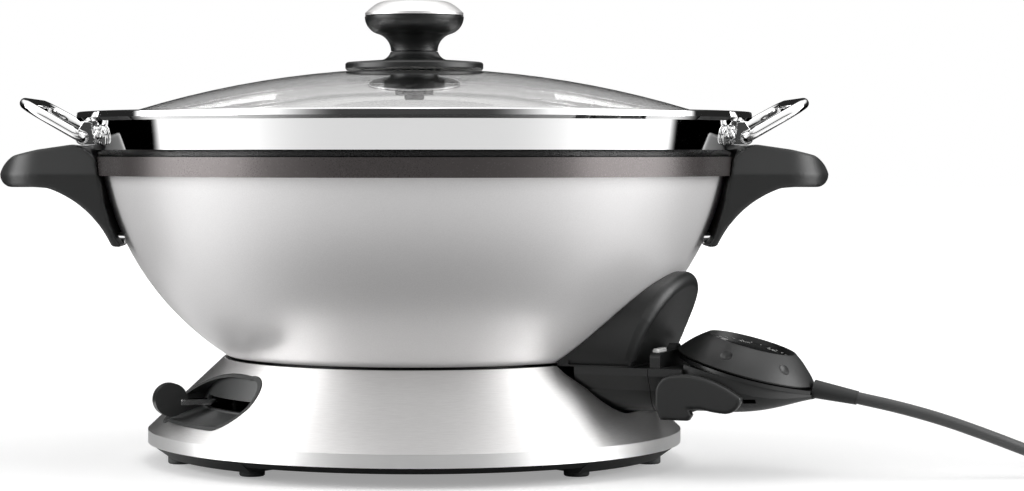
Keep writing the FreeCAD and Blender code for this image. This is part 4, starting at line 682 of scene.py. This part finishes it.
# %% The room's zones
scene = bpy.context.scene
scene.view_settings.view_transform = "Standard"
AMBIENT = 0.45  # the light that falls on dull things from everywhere
BLACK = 0.02  # what is left in the darkest zone
WALL_FROM = (-0.30, -0.22)  # heading where the side walls begin, with the dark back behind them
WALL_GLOW, FRONT_DROP = 1.9, 0.9  # the side walls, and how much weaker the front wall is
FRONT_FROM = (0.30, 0.92)  # heading where the side walls fade into the front
CEILING_FROM = (0.22, 0.58)  # height where the ceiling begins
CEILING_GLOW, ZENITH_DROP = 1.2, 0.4  # the ceiling, and how much weaker its middle is
ZENITH_FROM = (0.86, 0.99)
BACK_UP_TO = (-0.95, -0.86)  # heading and height of the dark patch in the ceiling's back
BACK_TOP = (0.58, 0.75)
GAP_FROM = (0.66, 0.92)  # heading and height of the dark gap that the camera stands in
GAP_TOP = (0.05, 0.20)
GAP_DARK = 0.96
print(f"ambient {AMBIENT}, side walls {WALL_GLOW}, ceiling {CEILING_GLOW}")

# %% Room


def heading(x, y):
    """The cosine of a direction's angle from straight ahead of the wok, seen from above."""
    return (y * -1.0) / ((x * x + y * y + 0.0001) ** 0.5)


def room():
    """World light: white to the camera and through glass, zones to mirrors, even to the rest."""
    world = bpy.data.worlds.new("room")
    world.use_nodes = True
    wiring = Wiring(world.node_tree)
    x, y, z = wiring.parts(wiring.add("ShaderNodeTexCoord", {}, output="Generated"))
    front = heading(x, y)
    wall = front.step(*WALL_FROM) * (WALL_GLOW - front.step(*FRONT_FROM) * FRONT_DROP)
    behind = (1 - front.step(*BACK_UP_TO)) * (1 - z.step(*BACK_TOP))
    roof = CEILING_GLOW - z.step(*ZENITH_FROM) * ZENITH_DROP
    roof = z.step(*CEILING_FROM) * roof * (1 - behind)
    gap = front.step(*GAP_FROM) * (1 - z.step(*GAP_TOP))
    pale = wall.maths("MAXIMUM", wall, roof) * (1 - gap * GAP_DARK)
    level = wiring.ray("Glossy") * (pale * 0.97 + BLACK - AMBIENT) + AMBIENT
    camera_ray = wiring.ray("Camera")
    seen = camera_ray.maths("MAXIMUM", camera_ray, wiring.ray("Transmission"))
    level = seen * (1 - level) + level
    back = world.node_tree.nodes["Background"]
    world.node_tree.links.new(level.socket, back.inputs["Color"])
    return world


scene.world = room()
print("world:", scene.world.name)

# %% [markdown]
# Two big softboxes stand left and right of the wok, and a weaker one hangs above. They are
# area lamps, because only a large source gives the bowl its slow change from pale sides to a
# darker middle. They are turned without a constraint, so that their place is plain to read.

# %% Softboxes
PAN_MIDDLE = (0, 0, 0.1)


def softbox(name, spot, size, power):
    """A lamp at spot that faces the pan. Its turn is the heading's angle, then the tilt from up."""
    lamp = bpy.data.lights.new(name, "AREA")
    lamp.shape = "RECTANGLE"
    lamp.size, lamp.size_y = size
    lamp.energy = power
    piece = bpy.data.objects.new(name, lamp)
    ahead = np.array(PAN_MIDDLE, float) - np.array(spot, float)
    ahead /= np.linalg.norm(ahead)
    turn = math.atan2(-ahead[0], ahead[1])
    piece.rotation_euler = (math.acos(-ahead[2]), 0, turn)
    piece.location = spot
    scene.collection.objects.link(piece)
    print(f"{name}: {power} W at {spot}")


softbox("left_box", (-1.9, -0.40, 0.70), (1.6, 1.3), 27)
softbox("right_box", (1.9, -0.45, 0.70), (1.6, 1.3), 28)
softbox("top_box", (0, 0.1, 1.9), (1.8, 1.4), 9)

# %% [markdown]
# The floor is plain and pale, and a product picture's floor ends in white without an edge. So the
# camera, also through glass, sees it glow, more so further away, and it still takes the shadow.
# To mirrors it is black beyond the wok on both sides and behind, as the dark back of the room is,
# and dim in front, except for a lit patch ahead of the base that the skirt mirrors.

# %% Floor


def surface(name, rows):
    """A mesh with corners rows[i, j] and a quad between each four neighbours."""
    rows = np.asarray(rows, float)
    count, width = rows.shape[:2]
    number = np.arange(count * width).reshape(count, width)
    corners = [number[:-1, :-1], number[:-1, 1:], number[1:, 1:], number[1:, :-1]]
    quads = np.stack([part.ravel() for part in corners], 1)
    mesh = bpy.data.meshes.new(name)
    mesh.from_pydata(rows.reshape(-1, 3).tolist(), [], quads.tolist())
    mesh.validate()
    piece = bpy.data.objects.new(name, mesh)
    scene.collection.objects.link(piece)
    close_up(mesh)
    return piece


FLOOR_HALF = 12.0
tiles = np.linspace(-FLOOR_HALF, FLOOR_HALF, 5)
spread = np.stack(np.meshgrid(tiles, tiles, [0.0], indexing="ij"), -1)[:, :, 0]
floor = surface("floor", spread)
print(f"{floor.name}: {len(floor.data.polygons)} faces, {2 * FLOOR_HALF} m across")

# %% Floor finish
GLOW_NEAR, GLOW_GAIN, GLOW_FROM = 0.31, 0.65, (0.35, 1.4)  # glow beside the wok, and far away more
SIDES_UP_TO, SIDES_FROM = (-0.11, 0.02), (0.26, 0.34)  # heading and distance of the black sides
FRONT_DARK = 0.92  # how dark the front is to mirrors
PATCH_FROM, PATCH_TO, PATCH_GAIN = (0.22, 0.36), (1.20, 1.60), 0.85  # the lit patch in it
MIRRORED, MIRRORED_DROP, MIRRORED_FROM = 0.75, 0.68, (0.15, 0.4)  # glow to mirrors


def floor_finish():
    """Each zone is a product of steps in heading and in distance, as the constants say."""
    finish = Finish("floor", Roughness=0.9, Specular_IOR_Level=0.0)
    x, y, _, across = finish.axes()
    front = heading(x, y)
    ahead = front.step(*FRONT_FROM)
    sides = (1 - front.step(*SIDES_UP_TO)) * across.step(*SIDES_FROM)
    patch = across.step(*PATCH_FROM) * (1 - across.step(*PATCH_TO))
    dark = ahead * (1 - patch * PATCH_GAIN) * FRONT_DARK
    glossy, bounce = finish.ray("Glossy"), finish.ray("Diffuse")
    lit = (1 - glossy * sides) * (1 - glossy * dark) * (1 - bounce * 0.5)
    mirrored = lit * (MIRRORED - ahead * MIRRORED_DROP) * across.step(*MIRRORED_FROM)
    camera_ray = finish.ray("Camera")
    seen = camera_ray.maths("MAXIMUM", camera_ray, finish.ray("Transmission"))
    glow = seen * (across.step(*GLOW_FROM) * GLOW_GAIN + GLOW_NEAR) + glossy * mirrored
    clouds = finish.noise(finish.place(), 0.4, 2.0)
    plain = finish.mix(clouds, (0.80, 0.80, 0.80), (0.82, 0.82, 0.82))
    finish.set(Base_Color=finish.mix(lit, (0, 0, 0), plain), Emission_Color=glow)
    finish.set(Emission_Strength=1.0)
    return finish


floor.data.materials.append(floor_finish().material)
print(f"{floor.name} is stage, in {floor.data.materials[0].name}")

# %% [markdown]
